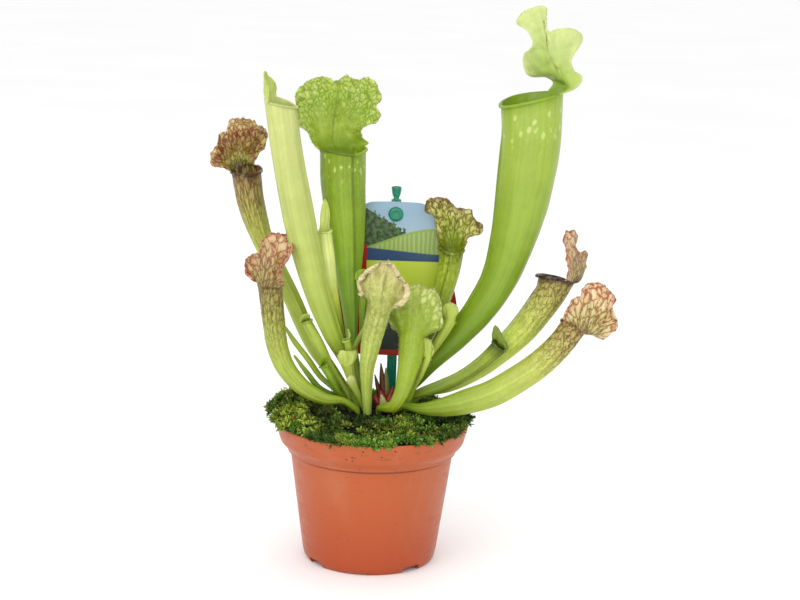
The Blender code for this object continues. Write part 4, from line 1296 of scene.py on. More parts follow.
@dataclass(frozen=True)
class Pot:
    """Round nursery pot: rim band, step, tapering body and notched foot."""

    NOTCHES = (-144.0, -49.0, 41.0, 131.0)      # degrees
    DEEP = (13.0, 3.8)      # width and height of these notches, mm
    SHALLOW = (14.0, 0.9)   # and of the low ones half way between them
    DRAIN = (27.0, 4.0)     # distance from the axis and radius of the holes, mm
    RING = (40.0, 13.0)     # radius of the foot ring and depth of a cut through it, mm

    finish: PotFinish = PotFinish()
    sides: int = 144
    rim: float = 60.0
    wall: float = 1.3
    band: float = 57.6
    body_top: float = 51.0
    body_foot: float = 42.2
    foot: float = 39.4
    top: float = 88.0
    floor: float = 4.5

    def profile(self) -> Profile:
        """Give the closed profile, from the floor's middle up inside and down outside.

        Returns:
            Radii and heights, mm.
        """
        inner = [(0.0, self.floor), (self.body_foot - self.wall - 1.6, self.floor),
                 (self.body_foot - self.wall, 8.0), (self.body_top - self.wall, 68.6),
                 (self.body_top + 0.4, 72.0), (self.band - self.wall, 77.1),
                 (self.rim - self.wall - 0.3, 85.0), (self.rim - self.wall, self.top)]
        outer = [(self.rim - 0.5, self.top), (self.rim, self.top - 0.6), (self.rim - 0.3, 85.0),
                 (self.band, 77.5), (self.band - 0.9, 75.6), (self.body_top + 1.7, 71.4),
                 (self.body_top + 1.5, 69.5), (self.body_top - 0.1, 69.2),
                 (self.body_top - 0.3, 68.4), (self.body_foot, 7.0),
                 (self.body_foot - 0.9, 3.0), (self.foot + 0.5, 0.6), (self.foot, 0.0)]
        skirt = [(self.foot - 1.9, 0.0), (self.foot - 2.1, 3.2), (0.0, 3.2)]
        return rounded(inner + outer + skirt, 0.5)

    def build(self) -> Object:
        """Build the pot with the notches and drain holes of its foot.

        Returns:
            The pot.
        """
        bm = bmesh.new()
        lathe(bm, self.profile(), self.sides)
        settle(bm)
        made = finished("pot", bm, self.finish.make(), "pot", "pot")
        cutters = bmesh.new()
        away, radius = self.DRAIN
        for angle in self.NOTCHES:
            self.bite(cutters, angle, *self.DEEP)
            self.bite(cutters, angle + 45.0, *self.SHALLOW)
            turn = math.radians(angle + 45.0)
            spot = Vector((away * math.cos(turn), away * math.sin(turn), self.floor))
            bmesh.ops.create_cone(cutters, cap_ends=True, segments=28, radius1=radius,
                                  radius2=radius, depth=6.0, matrix=Matrix.Translation(spot))
        settle(cutters)
        tool = linked("pot_cuts", stored("pot_cuts", cutters))
        step = made.modifiers.new("cuts", "BOOLEAN")
        step.operation = "DIFFERENCE"
        step.solver = "EXACT"
        step.object = tool
        apply_steps(made)
        bpy.data.objects.remove(tool)
        made.data.set_sharp_from_angle(angle=math.radians(38))
        return made

    def bite(self, bm: BMesh, angle: float, width: float, height: float) -> None:
        """Add a box that crosses the foot ring.

        Args:
            bm: The mesh of cutters.
            angle: Where it stands, degrees.
            width: Its width, mm.
            height: How high it reaches, mm.
        """
        turn = Matrix.Rotation(math.radians(angle), 4, "Z")
        move = Matrix.Translation((self.RING[0], 0.0, 0.0))
        size = Matrix.Diagonal((self.RING[1], width, 2 * height, 1.0))
        box = bmesh.ops.create_cube(bm, size=1.0, matrix=turn @ move @ size)["verts"]
        edges = dict.fromkeys(edge for vertex in box for edge in vertex.link_edges)
        top = [edge for edge in edges if all(vertex.co.z > 0 for vertex in edge.verts)]
        bmesh.ops.bevel(bm, geom=top, offset=min(1.6, height * 0.4), segments=3, profile=0.5,
                        affect="EDGES", material=-1)


def apply_steps(made: Object) -> None:
    """Replace a piece's mesh by what its modifiers make of it."""
    graph = bpy.context.evaluated_depsgraph_get()
    graph.update()
    mesh = bpy.data.meshes.new_from_object(made.evaluated_get(graph))
    made.modifiers.clear()
    made.data = mesh


@dataclass(frozen=True)
class SoilFinish:
    """Damp dark peat with paler fibres."""

    dark: Paint = (26, 19, 13)
    middle: Paint = (40, 29, 19)
    brown: Paint = (64, 46, 30)
    fibre: Paint = (112, 86, 54)

    def make(self) -> Material:
        """Write the soil's material.

        Returns:
            The material.
        """
        mix = Recipe("peat")
        place = mix.place()
        lumps = mix.clouds(place, 320.0, 6.0, 0.7)
        near, tint = mix.cells(place, 420.0, False, 1.0)
        tone = mix.ramp(lumps, ((0.3, self.dark), (0.55, self.middle), (0.75, self.brown)))
        strands = mix.span(mix.parts(tint)[0], 0.88, 0.94, 0.0, 0.5)
        tone = mix.blend(strands, tone, paint(*self.fibre))
        skin = mix.relief(near, 0.0008, mix.relief(lumps, 0.0012))
        mix.coat(base_color=tone, roughness=0.88, normal=skin, specular_ior_level=0.3)
        return mix.material


@dataclass(frozen=True)
class Soil:
    """Peat that fills the pot, with a raised crown and loose crumbs."""

    CROWN = (95.2, 6.8)     # height of the crown and the drop to the soil round it, mm
    BANK = (24.0, 33.0)     # radii between which it drops
    LUMPS = ((0.8, 0.0, 6.0), (0.5, 5.0, 2.2))      # height, shift and size, mm
    STREWN = 32.0           # radius within which crumbs lie, mm
    CRUMB = (0.4, 1.5)      # half of a crumb's length, mm
    EDGE = ((46.0, 88.0), (58.3, 88.0))             # the top beside the rough part
    SIDE = ((57.9, 84.6), (55.8, 77.0), (50.9, 72.0), (49.3, 68.6), (40.5, 8.2), (38.9, 4.9),
            (0.0, 4.9))     # and down along the pot to the middle of its floor

    finish: SoilFinish = SoilFinish()
    sides: int = 120
    crumbs: int = 420
    seed: int = 11

    def height(self, x: float, y: float) -> float:
        """Give the height of the soil's top at a place.

        Args:
            x: Millimetres from the pot's axis.
            y: Millimetres from the pot's axis.

        Returns:
            The height, mm.
        """
        level, drop = self.CROWN
        dome = level - drop * ease(*self.BANK, math.hypot(x, y))
        return dome + sum(rise * crumple(x, y, shift, size) for rise, shift, size in self.LUMPS)

    def build(self) -> Object:
        """Build the soil with its crumbs.

        Returns:
            The soil.
        """
        top = [(r * 0.75, 95.0) for r in range(0, 48)]
        bm = bmesh.new()
        lathe(bm, [*top, *self.EDGE, *self.SIDE], self.sides)
        for vertex in bm.verts:
            if vertex.co.z > top[0][1] - 0.1:
                vertex.co.z = self.height(vertex.co.x, vertex.co.y)
        draw = random.Random(self.seed)
        for _ in range(self.crumbs):
            radius = self.STREWN * math.sqrt(draw.random())
            turn = draw.uniform(0, math.tau)
            x, y = radius * math.cos(turn), radius * math.sin(turn)
            size = draw.uniform(*self.CRUMB)
            spot = Matrix.Translation((x, y, self.height(x, y) + size * 0.15))
            spin = Matrix.Rotation(draw.uniform(0, math.tau), 4, "Z")
            shape = Matrix.Diagonal((size, size * draw.uniform(0.5, 1.0), size * 0.6, 1.0))
            bmesh.ops.create_icosphere(bm, subdivisions=1, radius=1.0, matrix=spot @ spin @ shape)
        settle(bm)
        return finished("soil", bm, self.finish.make(), "soil", "soil")


@dataclass(frozen=True)
class MossFinish:
    """Fresh star moss: yellow-green tips over near-black green, with a few brown strands; the
    near-black low down is partly the moss's own colour and partly painted shade.
    """

    # tip 0, the near-black at the stars' feet and in the bed, is partly the moss's own colour and
    # partly painted shade
    green: Stops = (
        (0.0, (12, 20, 8)), (0.3, (44, 72, 28)), (0.65, (96, 132, 56)), (1.0, (164, 192, 96)))
    fresh: Stops = (
        (0.0, (16, 24, 8)), (0.35, (92, 112, 34)), (0.7, (168, 184, 72)), (1.0, (226, 234, 140)))
    brown: Stops = (
        (0.0, (34, 22, 10)), (0.5, (116, 76, 36)), (1.0, (196, 150, 88)))

    def make(self) -> Material:
        """Write the moss material.

        Returns:
            The material.
        """
        mix = Recipe("star_moss")
        tip = mix.attribute("tip")
        hue = mix.attribute("hue")
        tone = mix.blend(mix.span(hue, 0.35, 0.85), mix.ramp(tip, self.green),
                         mix.ramp(tip, self.fresh))
        tone = mix.blend(mix.span(hue, 0.955, 0.965), tone, mix.ramp(tip, self.brown))
        shade = mix.span(mix.clouds(mix.place(), 45.0, 3.0), 0.35, 0.65, 0.45, 1.5)
        mix.coat(base_color=mix.shaded(tone, shade), roughness=0.7, specular_ior_level=0.25,
                 subsurface_weight=0.05, subsurface_scale=0.001)
        return mix.material


class MossMesh:
    """Mesh whose vertices carry a hue and how near they are to a leaf's tip."""

    def __init__(self) -> None:
        """Start an empty mesh."""
        self.bm = bmesh.new()
        self.tip = self.bm.verts.layers.float.new("tip")
        self.hue = self.bm.verts.layers.float.new("hue")


@dataclass(frozen=True)
class Moss:
    """Mat of star moss: a dark lumpy bed, partly painted shade, under cushions of small stars."""

    BED = (22, 150)         # cells of the bed from its inner edge round below, and round it
    START = 28.0            # radius at which the bed's dome starts to fall, mm
    DOME = (95.0, 5.6)      # height of the dome and its fall to the rim, mm
    HEM = (89.5, 0.6)       # level that the rim sinks towards, mm, and share of the way
    SOIL = 88.4             # height of the bed's lower side, mm
    UNDER = 45.0            # radius of the lower side's inner edge, mm
    HOLE = 92.5             # height of the bed's inner edge, mm
    WITHIN = 0.7            # share of the cushions that lie anywhere; the others fringe the rim
    SWELL = (5.5, 0.6)      # how far it hangs over the rim on the left and the right, mm
    WAVE = 0.7              # depth of the waves of its edge, mm
    BANK = (12.0, 1.5)      # how high it is banked up on the left and the right, mm
    LUMPS = ((1.8, 3.0, 8.5), (1.2, 9.0, 3.6))      # height, shift and size, mm
    WIDE = (2.4, 5.2)       # radius of a cushion, mm
    RISE = (-0.8, 1.8)      # height of a cushion over the bed, mm
    FRINGE = (-1.0, 0.6)    # and of one at the rim
    LUSH = (0.65, 1.0)      # how bright a cushion's tips are
    BROWN = 0.98            # hue of a brown strand
    BROWN_SHARE = 0.03      # share of the stars that are brown
    STAR = (2.2, 4.2)       # radius of a star, mm
    POINTS = (7, 8, 9)      # leaves in one tier of a star
    TIERS = ((1.0, 0.45), (0.6, 0.95))      # reach and height of each tier, share of the radius

    finish: MossFinish = MossFinish()
    inner: float = 27.0
    radius: float = 58.6
    cushions: int = 330
    seed: int = 5

    def edge(self, angle: float) -> float:
        """Give the mat's outer radius at an angle, larger where it hangs over the rim."""
        left = math.cos(angle - math.pi)
        right = math.cos(angle - math.radians(4))
        swell = self.SWELL[0] * max(left, 0.0) ** 5 + self.SWELL[1] * max(right, 0.0) ** 6
        wave = self.WAVE * math.sin(7 * angle + 1.0) * max(abs(math.cos(angle)), 0.3)
        return self.radius + swell + wave

    def height(self, radius: float, angle: float) -> float:
        """Give the height of the bed, a low dome that is banked up on the left.

        Args:
            radius: Millimetres from the pot's axis.
            angle: Radians.

        Returns:
            The height, mm.
        """
        level, fall = self.DOME
        dome = level - fall * ease(self.START, self.radius, radius)
        left = max(math.cos(angle - math.pi), 0.0) ** 4
        right = max(math.cos(angle - math.radians(8)), 0.0) ** 6
        bank = self.BANK[0] * left * ease(34.0, 52.0, radius)
        bank += self.BANK[1] * right * ease(50.0, 57.0, radius)
        x, y = radius * math.cos(angle), radius * math.sin(angle)
        lumps = sum(rise * crumple(x, y, shift, size) for rise, shift, size in self.LUMPS)
        share = (radius - self.START) / (self.edge(angle) - self.START)
        rise = dome + bank + lumps
        hem, sink = self.HEM
        return rise - ease(0.8, 1.0, share) * (rise - hem) * sink

    def build(self) -> Object:
        """Build the mat.

        Returns:
            The moss.
        """
        mat = MossMesh()
        self.bed(mat)
        draw = random.Random(self.seed)
        for index in range(self.cushions):
            cushion = MossMesh()
            self.cushion(cushion, draw, index / self.cushions)
            absorb(mat.bm, cushion.bm)
        to_model(mat.bm)
        return finished("moss", mat.bm, self.finish.make(), "moss", "moss", smooth=False)

    def bed(self, mat: MossMesh) -> None:
        """Add the bed that the stars stand on.

        Args:
            mat: The mesh.
        """
        rows, around = self.BED
        top = rows - 3
        for vertex, (column, row) in grid(mat.bm, around, rows).items():
            angle = math.tau * column / around
            rim = self.edge(angle) - 0.4
            radius, height = self.inner, self.HOLE
            if 0 < row <= top:
                radius = self.inner + (rim - self.inner) * row / top
                height = self.height(radius, angle) - 0.9
            elif row == rows - 2:
                radius, height = rim - 0.8, self.SOIL
            elif row == rows - 1:
                radius, height = self.UNDER, self.SOIL
            vertex.co = (radius * math.cos(angle), radius * math.sin(angle), height)
            vertex.co.z += 0.7 * crumple(vertex.co.x, vertex.co.y, 6.0, 1.5) if row <= top else 0.0
            # a low tip makes the bed near-black: partly the mat's own dark colour, partly painted
            # shade
            vertex[mat.tip] = 0.07 + 0.12 * crumple(vertex.co.x, vertex.co.y, 2.0, 1.6)
            vertex[mat.hue] = 0.2
        bmesh.ops.remove_doubles(mat.bm, verts=mat.bm.verts[:], dist=0.01)
        bmesh.ops.recalc_face_normals(mat.bm, faces=mat.bm.faces[:])

    def cushion(self, mat: MossMesh, draw: random.Random, share: float) -> None:
        """Add one cushion of stars, or a fringe of them at the rim.

        Args:
            mat: The mesh.
            draw: The seeded source of chance.
            share: How many cushions are made already, 0 to 1.
        """
        angle = draw.uniform(0, math.tau)
        rim = self.edge(angle)
        low = self.inner - 1.0 if share < self.WITHIN else rim - 6.0
        radius = math.sqrt(draw.uniform(low ** 2, (rim - 0.6) ** 2))
        middle = Vector((radius * math.cos(angle), radius * math.sin(angle), 0.0))
        wide = draw.uniform(*self.WIDE)
        rise = draw.uniform(*(self.RISE if share < self.WITHIN else self.FRINGE))
        tint = min(draw.random() ** 1.3 + 0.4 * max(-math.cos(angle), 0.0) ** 4, 0.94)
        lush = draw.uniform(*self.LUSH)
        for _ in range(round(2.0 + 0.42 * wide ** 2)):
            turn = draw.uniform(0, math.tau)
            away = wide * math.sqrt(draw.random())
            spot = middle + Vector((away * math.cos(turn), away * math.sin(turn), 0.0))
            reach = min(max(spot.length, self.inner - 2.4), rim + 0.8)
            spot *= reach / spot.length
            around = math.atan2(spot.y, spot.x)
            steep = ease(0.86, 1.0, reach / rim)
            spot.z = self.height(min(reach, rim), around) + rise * (1 - 0.7 * steep)
            spot.z += draw.uniform(-0.5, 0.5) - 1.1 * (away / wide) ** 2
            out = Vector((math.cos(around), math.sin(around), 0.0)) * (0.1 + 1.1 * steep)
            lean = Vector((math.cos(turn), math.sin(turn), 0.0)) * 0.7 * away / wide
            up = (Vector((0, 0, 1)) + out + lean).normalized()
            shade = min(max(tint + draw.uniform(-0.06, 0.06), 0.0), 0.94)
            if draw.random() < self.BROWN_SHARE:
                shade = self.BROWN
            self.star(mat, draw, spot, up, shade, lush)

    def star(self, mat: MossMesh, draw: random.Random, spot: Vector, up: Vector, shade: float,
             lush: float) -> None:
        """Add one star of narrow leaves in two tiers.

        Args:
            mat: The mesh.
            draw: The seeded source of chance.
            spot: Its foot, mm.
            up: Where it points.
            shade: Its hue.
            lush: How bright its tips are.
        """
        size = draw.uniform(*self.STAR)
        aim = Vector((0, 0, 1)).rotation_difference(up).to_matrix().to_4x4()
        points = draw.choice(self.POINTS)
        for tier, (spread, lift) in enumerate(self.TIERS):
            spin = Matrix.Rotation(draw.uniform(0, math.tau), 4, "Z")
            made = bmesh.ops.create_circle(mat.bm, cap_ends=True, cap_tris=True,
                                           segments=2 * points, radius=1.0)["verts"]
            for vertex in made:
                if vertex.co.length < 0.01:
                    vertex.co.z = 0.3 * tier
                    vertex[mat.tip] = 0.3 + 0.25 * tier
                elif round(math.atan2(vertex.co.y, vertex.co.x) / math.pi * points) % 2:
                    vertex.co *= 0.17
                    vertex.co.z = 0.1 + 0.3 * tier
                    vertex[mat.tip] = 0.22
                else:
                    vertex.co *= spread * draw.uniform(0.7, 1.2)
                    vertex.co.z = lift * draw.uniform(0.5, 1.2)
                    vertex[mat.tip] = draw.uniform(0.6, 1.0) * lush
                vertex[mat.hue] = shade
                vertex.co = Matrix.Translation(spot) @ aim @ spin @ (vertex.co * size)


@dataclass(frozen=True)
class ShootFinish:
    """Skin of a bud: dark red at its foot, paler or greener at its tip."""

    name: str
    low: Paint
    high: Paint
    fleck: Paint = (70, 26, 20)

    def make(self) -> Material:
        """Write the bud's material.

        Returns:
            The material.
        """
        mix = Recipe(self.name)
        along = mix.parts(mix.chart("growth"))[1]
        spots = mix.clouds(mix.place(), 700.0, 4.0)
        tone = mix.ramp(along, ((0.1, self.low), (0.9, self.high)))
        tone = mix.blend(mix.span(spots, 0.45, 0.7, 0.0, 0.4), tone, paint(*self.fleck))
        mix.coat(base_color=tone, roughness=0.45, normal=mix.relief(spots, 0.0003),
                 subsurface_weight=0.1, subsurface_scale=0.001)
        return mix.material


@dataclass(frozen=True)
class Shoots:
    """Cluster of new shoots at the crown."""

    BOW = Vector((0.0, -0.8, 0.0))      # how far the middle of a shoot stands off, mm
    TAPER = ((0.0, 0.7), (0.3, 1.0), (0.7, 0.84), (1.0, 0.2))       # shares of its width

    red: ShootFinish = ShootFinish("bud_red", (112, 26, 26), (176, 62, 56))
    brown: ShootFinish = ShootFinish("bud_brown", (110, 48, 30), (104, 70, 44))
    pale: ShootFinish = ShootFinish("bud_pale", (196, 196, 120), (226, 222, 160))
    olive: ShootFinish = ShootFinish("bud_olive", (116, 92, 44), (150, 152, 78))

    def build(self) -> Object:
        """Build the shoots on their common foot.

        Returns:
            The cluster.
        """
        spikes = (
            ((7.6, -2.6, 95.0), (4.4, -4.0, 125.5), 4.2, self.brown),
            ((7.2, -2.2, 95.0), (0.8, -3.0, 118.0), 3.4, self.brown),
            ((8.4, -2.2, 95.0), (7.6, -3.2, 122.5), 4.2, self.olive),
            ((7.4, -2.8, 95.0), (0.6, -5.6, 105.5), 6.4, self.red),
            ((8.1, -3.0, 95.0), (4.6, -7.6, 109.0), 6.8, self.red),
            ((8.4, -3.0, 95.0), (10.8, -7.4, 107.0), 6.4, self.red),
            ((8.7, -2.5, 95.0), (14.6, -4.6, 108.5), 6.0, self.red),
            ((7.9, -3.2, 95.0), (8.2, -7.8, 103.0), 6.4, self.red),
            ((8.6, -2.6, 95.0), (12.4, -1.2, 110.5), 4.6, self.red),
            ((7.8, -2.0, 95.0), (6.4, 1.2, 108.0), 4.0, self.red),
            ((8.3, -4.2, 94.5), (5.2, -10.2, 107.0), 5.0, self.pale),
        )
        skin = LeafMesh()
        finishes = [self.red, self.brown, self.pale, self.olive]
        for foot, tip, width, finish in spikes:
            a, b = Vector(foot), Vector(tip)
            route = tuple((*(a.lerp(b, t) + self.BOW * math.sin(math.pi * t)), w * width)
                          for t, w in self.TAPER)
            before = len(skin.bm.faces)
            blade = Blade("shoot", "shoots", route, -90.0, finish, depth=0.8, cells=14, rows=16)
            blade.lay(skin)
            skin.bm.faces.ensure_lookup_table()
            for face in skin.bm.faces[before:]:
                face.material_index = finishes.index(finish)
        close_up(skin.bm)
        made = finished("new_shoots", skin.bm, self.red.make(), "shoots", "new_shoots")
        for finish in finishes[1:]:
            made.data.materials.append(finish.make())
        return made


@dataclass(frozen=True)
class CardFinish:
    """Printed glossy card: red border, a plain garden picture and a yellow-green panel."""

    sky: Stops = ((0.5, (214, 228, 236)), (0.92, (164, 196, 220)))
    woods: tuple[Paint, Paint] = ((40, 66, 38), (96, 128, 72))
    field: tuple[Paint, Paint] = ((158, 188, 92), (206, 216, 150))
    pond: Paint = (62, 88, 128)
    panel: Paint = (216, 236, 84)
    leafy: tuple[Paint, Paint] = ((44, 62, 30), (84, 62, 34))
    border: Paint = (206, 52, 38)
    rear: tuple[Paint, Paint] = ((236, 237, 230), (214, 212, 200))

    def make(self) -> Material:
        """Write the card's print, laid out by height and width on the card.

        Returns:
            The material.
        """
        mix = Recipe("printed_card")
        chart = mix.chart("print")
        x, z, _ = mix.parts(chart)

        def below(level: object, soft: float) -> Socket:
            """Give 1 where the height is less than a level, with a soft line between."""
            return mix.span(mix.maths("SUBTRACT", z, level), -soft, soft, 1.0, 0.0)

        def tones(share: object, pair: tuple[Paint, Paint]) -> Socket:
            """Mix two paints."""
            return mix.blend(share, paint(*pair[0]), paint(*pair[1]))

        ragged = mix.span(mix.clouds(chart, 26.0, 4.0), 0.3, 0.7, 0.02, -0.02)
        hill = mix.maths("ADD", mix.span(mix.apart(x, 0.22), 0.0, 0.55, 0.95, 0.75), ragged)
        woods = tones(mix.span(mix.clouds(chart, 34.0, 4.0), 0.35, 0.65), self.woods)
        tone = mix.blend(below(hill, 0.004), mix.ramp(z, self.sky), woods)
        slope = mix.span(mix.apart(x, 0.8), 0.0, 0.75, 0.83, 0.67)
        rows = mix.tree.nodes.new("ShaderNodeTexWave")
        mix.feed(rows.inputs["Vector"], chart)
        rows.inputs["Scale"].default_value = 9.0
        rows.inputs["Distortion"].default_value = 2.2
        tone = mix.blend(below(slope, 0.004), tone, paint(*self.field[0]))
        inside = mix.span(mix.maths("SUBTRACT", z, slope), -0.02, -0.01, 1.0, 0.0)
        stripes = mix.times(inside, mix.span(rows.outputs["Fac"], 0.55, 0.7, 0.0, 0.55))
        tone = mix.blend(stripes, tone, paint(*self.field[1]))
        shore = mix.span(x, 0.0, 1.0, 0.71, 0.66)
        tone = mix.blend(below(shore, 0.003), tone, paint(*self.pond))
        tone = mix.blend(mix.span(z, 0.615, 0.62, 1.0, 0.0), tone, paint(*self.panel))
        leafy = tones(mix.span(mix.clouds(chart, 5.0, 2.0), 0.45, 0.6), self.leafy)
        tone = mix.blend(mix.span(z, 0.235, 0.24, 1.0, 0.0), tone, leafy)
        edge = mix.maths("MAXIMUM", mix.attribute("border"), mix.span(x, 0.283, 0.288, 1.0, 0.0))
        edge = mix.times(edge, mix.span(z, 0.72, 0.73, 1.0, 0.0))
        tone = mix.blend(edge, tone, paint(*self.border))
        mix.coat(base_color=tone, roughness=0.36, specular_ior_level=0.4, coat_weight=0.08,
                 coat_roughness=0.2, normal=mix.relief(mix.clouds(mix.place(), 40.0, 2.0), 0.0006))
        return mix.material

    def make_rear(self) -> Material:
        """Write the unprinted back of the card.

        Returns:
            The material.
        """
        mix = Recipe("card_rear")
        haze = mix.clouds(mix.place(), 60.0, 4.0)
        tone = mix.blend(mix.span(haze, 0.45, 0.75, 0.0, 0.5), paint(*self.rear[0]),
                         paint(*self.rear[1]))
        mix.coat(base_color=tone, roughness=mix.span(haze, 0.3, 0.7, 0.38, 0.5),
                 normal=mix.relief(mix.clouds(mix.place(), 300.0, 3.0), 0.0001))
        return mix.material


@dataclass(frozen=True)
class Card:
    """Shield-shaped plant card on its peg."""

    HALF = 41.0             # half of the print's width, mm
    FOOT = 122.5            # where the print starts, mm
    TALL = 99.0             # its height, mm
    BORDER = 3.6            # width of the red border, mm
    LINE = 0.12             # width over which the border gives way to the picture, mm
    BOW = 0.9               # how far the sides bend back, mm

    finish: CardFinish = CardFinish()
    middle: float = 11.0
    front: float = 31.5
    thick: float = 0.8

    def outline(self) -> list[tuple[float, float]]:
        """Give the card's outline, mm from its middle line, clockwise from the top."""
        half = [(0.0, 221.5), (17.0, 221.0), (23.5, 216.5), (27.0, 206.0), (34.5, 182.0),
                (40.0, 158.0), (41.3, 140.0), (39.5, 127.5), (34.5, 123.0), (0.0, self.FOOT)]
        smooth = rounded(half, 5.0, 5)
        return smooth + [(-x, z) for x, z in reversed(smooth[1:-1])]

    def build(self) -> Object:
        """Build the card with an inset border.

        Returns:
            The card.
        """
        bm = bmesh.new()
        border = bm.verts.layers.float.new("border")
        chart = bm.loops.layers.uv.new("print")
        ring = [bm.verts.new((x + self.middle, self.front, z)) for x, z in self.outline()]
        face = bm.faces.new(ring)
        face.normal_update()
        for width in (self.BORDER, self.LINE):
            bmesh.ops.inset_individual(bm, faces=[face], thickness=width, use_even_offset=True)
        inner = {(round(v.co.x, 1), round(v.co.z, 1)) for v in face.verts}
        bmesh.ops.triangulate(bm, faces=[face])
        bmesh.ops.solidify(bm, geom=bm.faces[:], thickness=self.thick)
        for vertex in bm.verts:
            x, z = vertex.co.x - self.middle, vertex.co.z
            for loop in vertex.link_loops:
                loop[chart].uv = ((x + self.HALF) / (2 * self.HALF), (z - self.FOOT) / self.TALL)
            vertex[border] = 0.0 if (round(vertex.co.x, 1), round(z, 1)) in inner else 1.0
            vertex.co.y += self.BOW * (x / 40) ** 2
        settle(bm)
        made = finished("plant_label", bm, self.finish.make(), "card", "plant_label", smooth=False)
        made.data.set_sharp_from_angle(angle=math.radians(30))
        made.data.materials.append(self.finish.make_rear())
        for polygon in made.data.polygons:
            polygon.material_index = int(polygon.normal.y > 0.5)
        return made


@dataclass(frozen=True)
class PegFinish:
    """Glossy teal-green plastic."""

    tone: Paint = (15, 152, 120)
    film: Paint = (8, 96, 76)

    def make(self) -> Material:
        """Write the peg's material.

        Returns:
            The material.
        """
        mix = Recipe("peg_plastic")
        film = mix.clouds(mix.place(), 160.0, 4.0)
        tone = mix.blend(mix.span(film, 0.4, 0.7, 0.0, 0.3), paint(*self.tone), paint(*self.film))
        mix.coat(base_color=tone, roughness=mix.span(film, 0.3, 0.7, 0.24, 0.36),
                 normal=mix.relief(film, 0.0002))
        return mix.material


@dataclass(frozen=True)
class Peg:
    """Pointed stake with a cap, and a stud with the button that holds the card."""

    STAKE = (6.2, 2.0, 148.6)       # its size, mm
    MIDDLE = 148.3                  # height of its middle, mm
    POINT = (108.0, 74.0)           # heights between which it narrows to a point, mm
    CUTS = (98.0, 108.0)            # heights at which it is cut so that it can narrow, mm
    BUTTON = 213.5                  # height of the button, mm
    CAP = ((0.0, 222.0), (1.9, 222.0), (1.75, 224.2), (2.3, 224.6), (2.7, 226.2), (3.2, 229.6),
           (3.1, 230.3), (2.5, 230.6), (2.3, 230.1), (0.0, 229.8))
    HEAD = ((0.0, 0.0), (4.2, 0.0), (4.7, 0.35), (4.6, 1.2), (3.9, 1.9), (2.6, 2.2),
            (2.3, 1.9), (0.0, 1.8))
    STUD = ((0.0, -3.0), (1.7, -3.0), (1.7, 0.2), (0.0, 0.2))

    finish: PegFinish = PegFinish()
    x: float = 11.0
    y: float = 33.6
    front: float = 31.2

    def build(self) -> Object:
        """Build the peg.

        Returns:
            The peg.
        """
        bm = bmesh.new()
        move = Matrix.Translation((self.x, self.y, self.MIDDLE))
        size = Matrix.Diagonal((*self.STAKE, 1.0))
        stake = bmesh.ops.create_cube(bm, size=1.0, matrix=move @ size)["verts"]
        edges = list(dict.fromkeys(edge for vertex in stake for edge in vertex.link_edges))
        bmesh.ops.bevel(bm, geom=edges, offset=0.45, segments=3, profile=0.5, affect="EDGES",
                        material=-1)
        for level in self.CUTS:
            bmesh.ops.bisect_plane(bm, geom=bm.verts[:] + bm.edges[:] + bm.faces[:],
                                   plane_co=(0, 0, level), plane_no=(0, 0, 1))
        for vertex in bm.verts:
            slim = 1.0 - 0.7 * ease(*self.POINT, vertex.co.z)
            vertex.co.x = self.x + (vertex.co.x - self.x) * slim
        lathe(bm, rounded(self.CAP, 0.35), 40, Matrix.Translation((self.x, self.y, 0.0)))
        tip = (Matrix.Translation((self.x, self.front, self.BUTTON))
               @ Matrix.Rotation(math.radians(90), 4, "X"))
        lathe(bm, rounded(self.HEAD, 0.3), 44, tip)
        lathe(bm, self.STUD, 24, tip)
        settle(bm)
        piece = finished("label_peg", bm, self.finish.make(), "peg", "label_peg")
        piece.data.set_sharp_from_angle(angle=math.radians(40))
        return piece


def fan(width: float, height: float) -> tuple[tuple[float, float], ...]:
    """Give the edge of a small rounded hood.

    Args:
        width: Half of its width, mm.
        height: Its height, mm.

    Returns:
        The edge from left to right.
    """
    right = ((0.0, 1.0), (0.6, 0.9), (0.95, 0.55), (0.65, 0.18))
    left = tuple((-x * width, y * height) for x, y in reversed(right[1:]))
    return left + tuple((x * width, y * height) for x, y in right)


BROWN_SKIN = LeafFinish(
    "leaf_brown_net",
    ((0.0, (166, 195, 70)), (0.2, (200, 222, 90)), (0.34, (223, 240, 107)),
     (0.42, (205, 205, 98)), (0.485, (174, 143, 82)), (0.5, (84, 60, 30)),
     (0.53, (206, 200, 104)), (0.6, (172, 134, 74)), (0.78, (170, 112, 78)),
     (0.9, (224, 180, 126)), (1.0, (252, 224, 166))),
    Veins.NET, (96, 40, 26), ((0.0, 0.0), (0.24, 0.12), (0.37, 0.45), (0.46, 0.85), (0.6, 0.85),
                              (1.0, 0.9)),
    0.1, (250, 232, 150), ((0.0, 0.0), (0.4, 0.0), (0.5, 0.3), (0.7, 0.3), (0.9, 0.8),
                                    (1.0, 0.85)),
    (150, 70, 48), 0.5, small=0.15, blush=(116, 42, 30))
PALE_SKIN = LeafFinish(
    "leaf_pale_ribbed",
    ((0.0, (148, 176, 49)), (0.1, (184, 210, 76)), (0.22, (206, 224, 110)),
     (0.35, (211, 223, 128)), (0.5, (227, 233, 149)), (1.0, (201, 217, 105))),
    Veins.FAINT, (150, 178, 70), ((0.0, 0.0), (1.0, 0.14)), 0.1, ribs=0.35, rough=0.38)
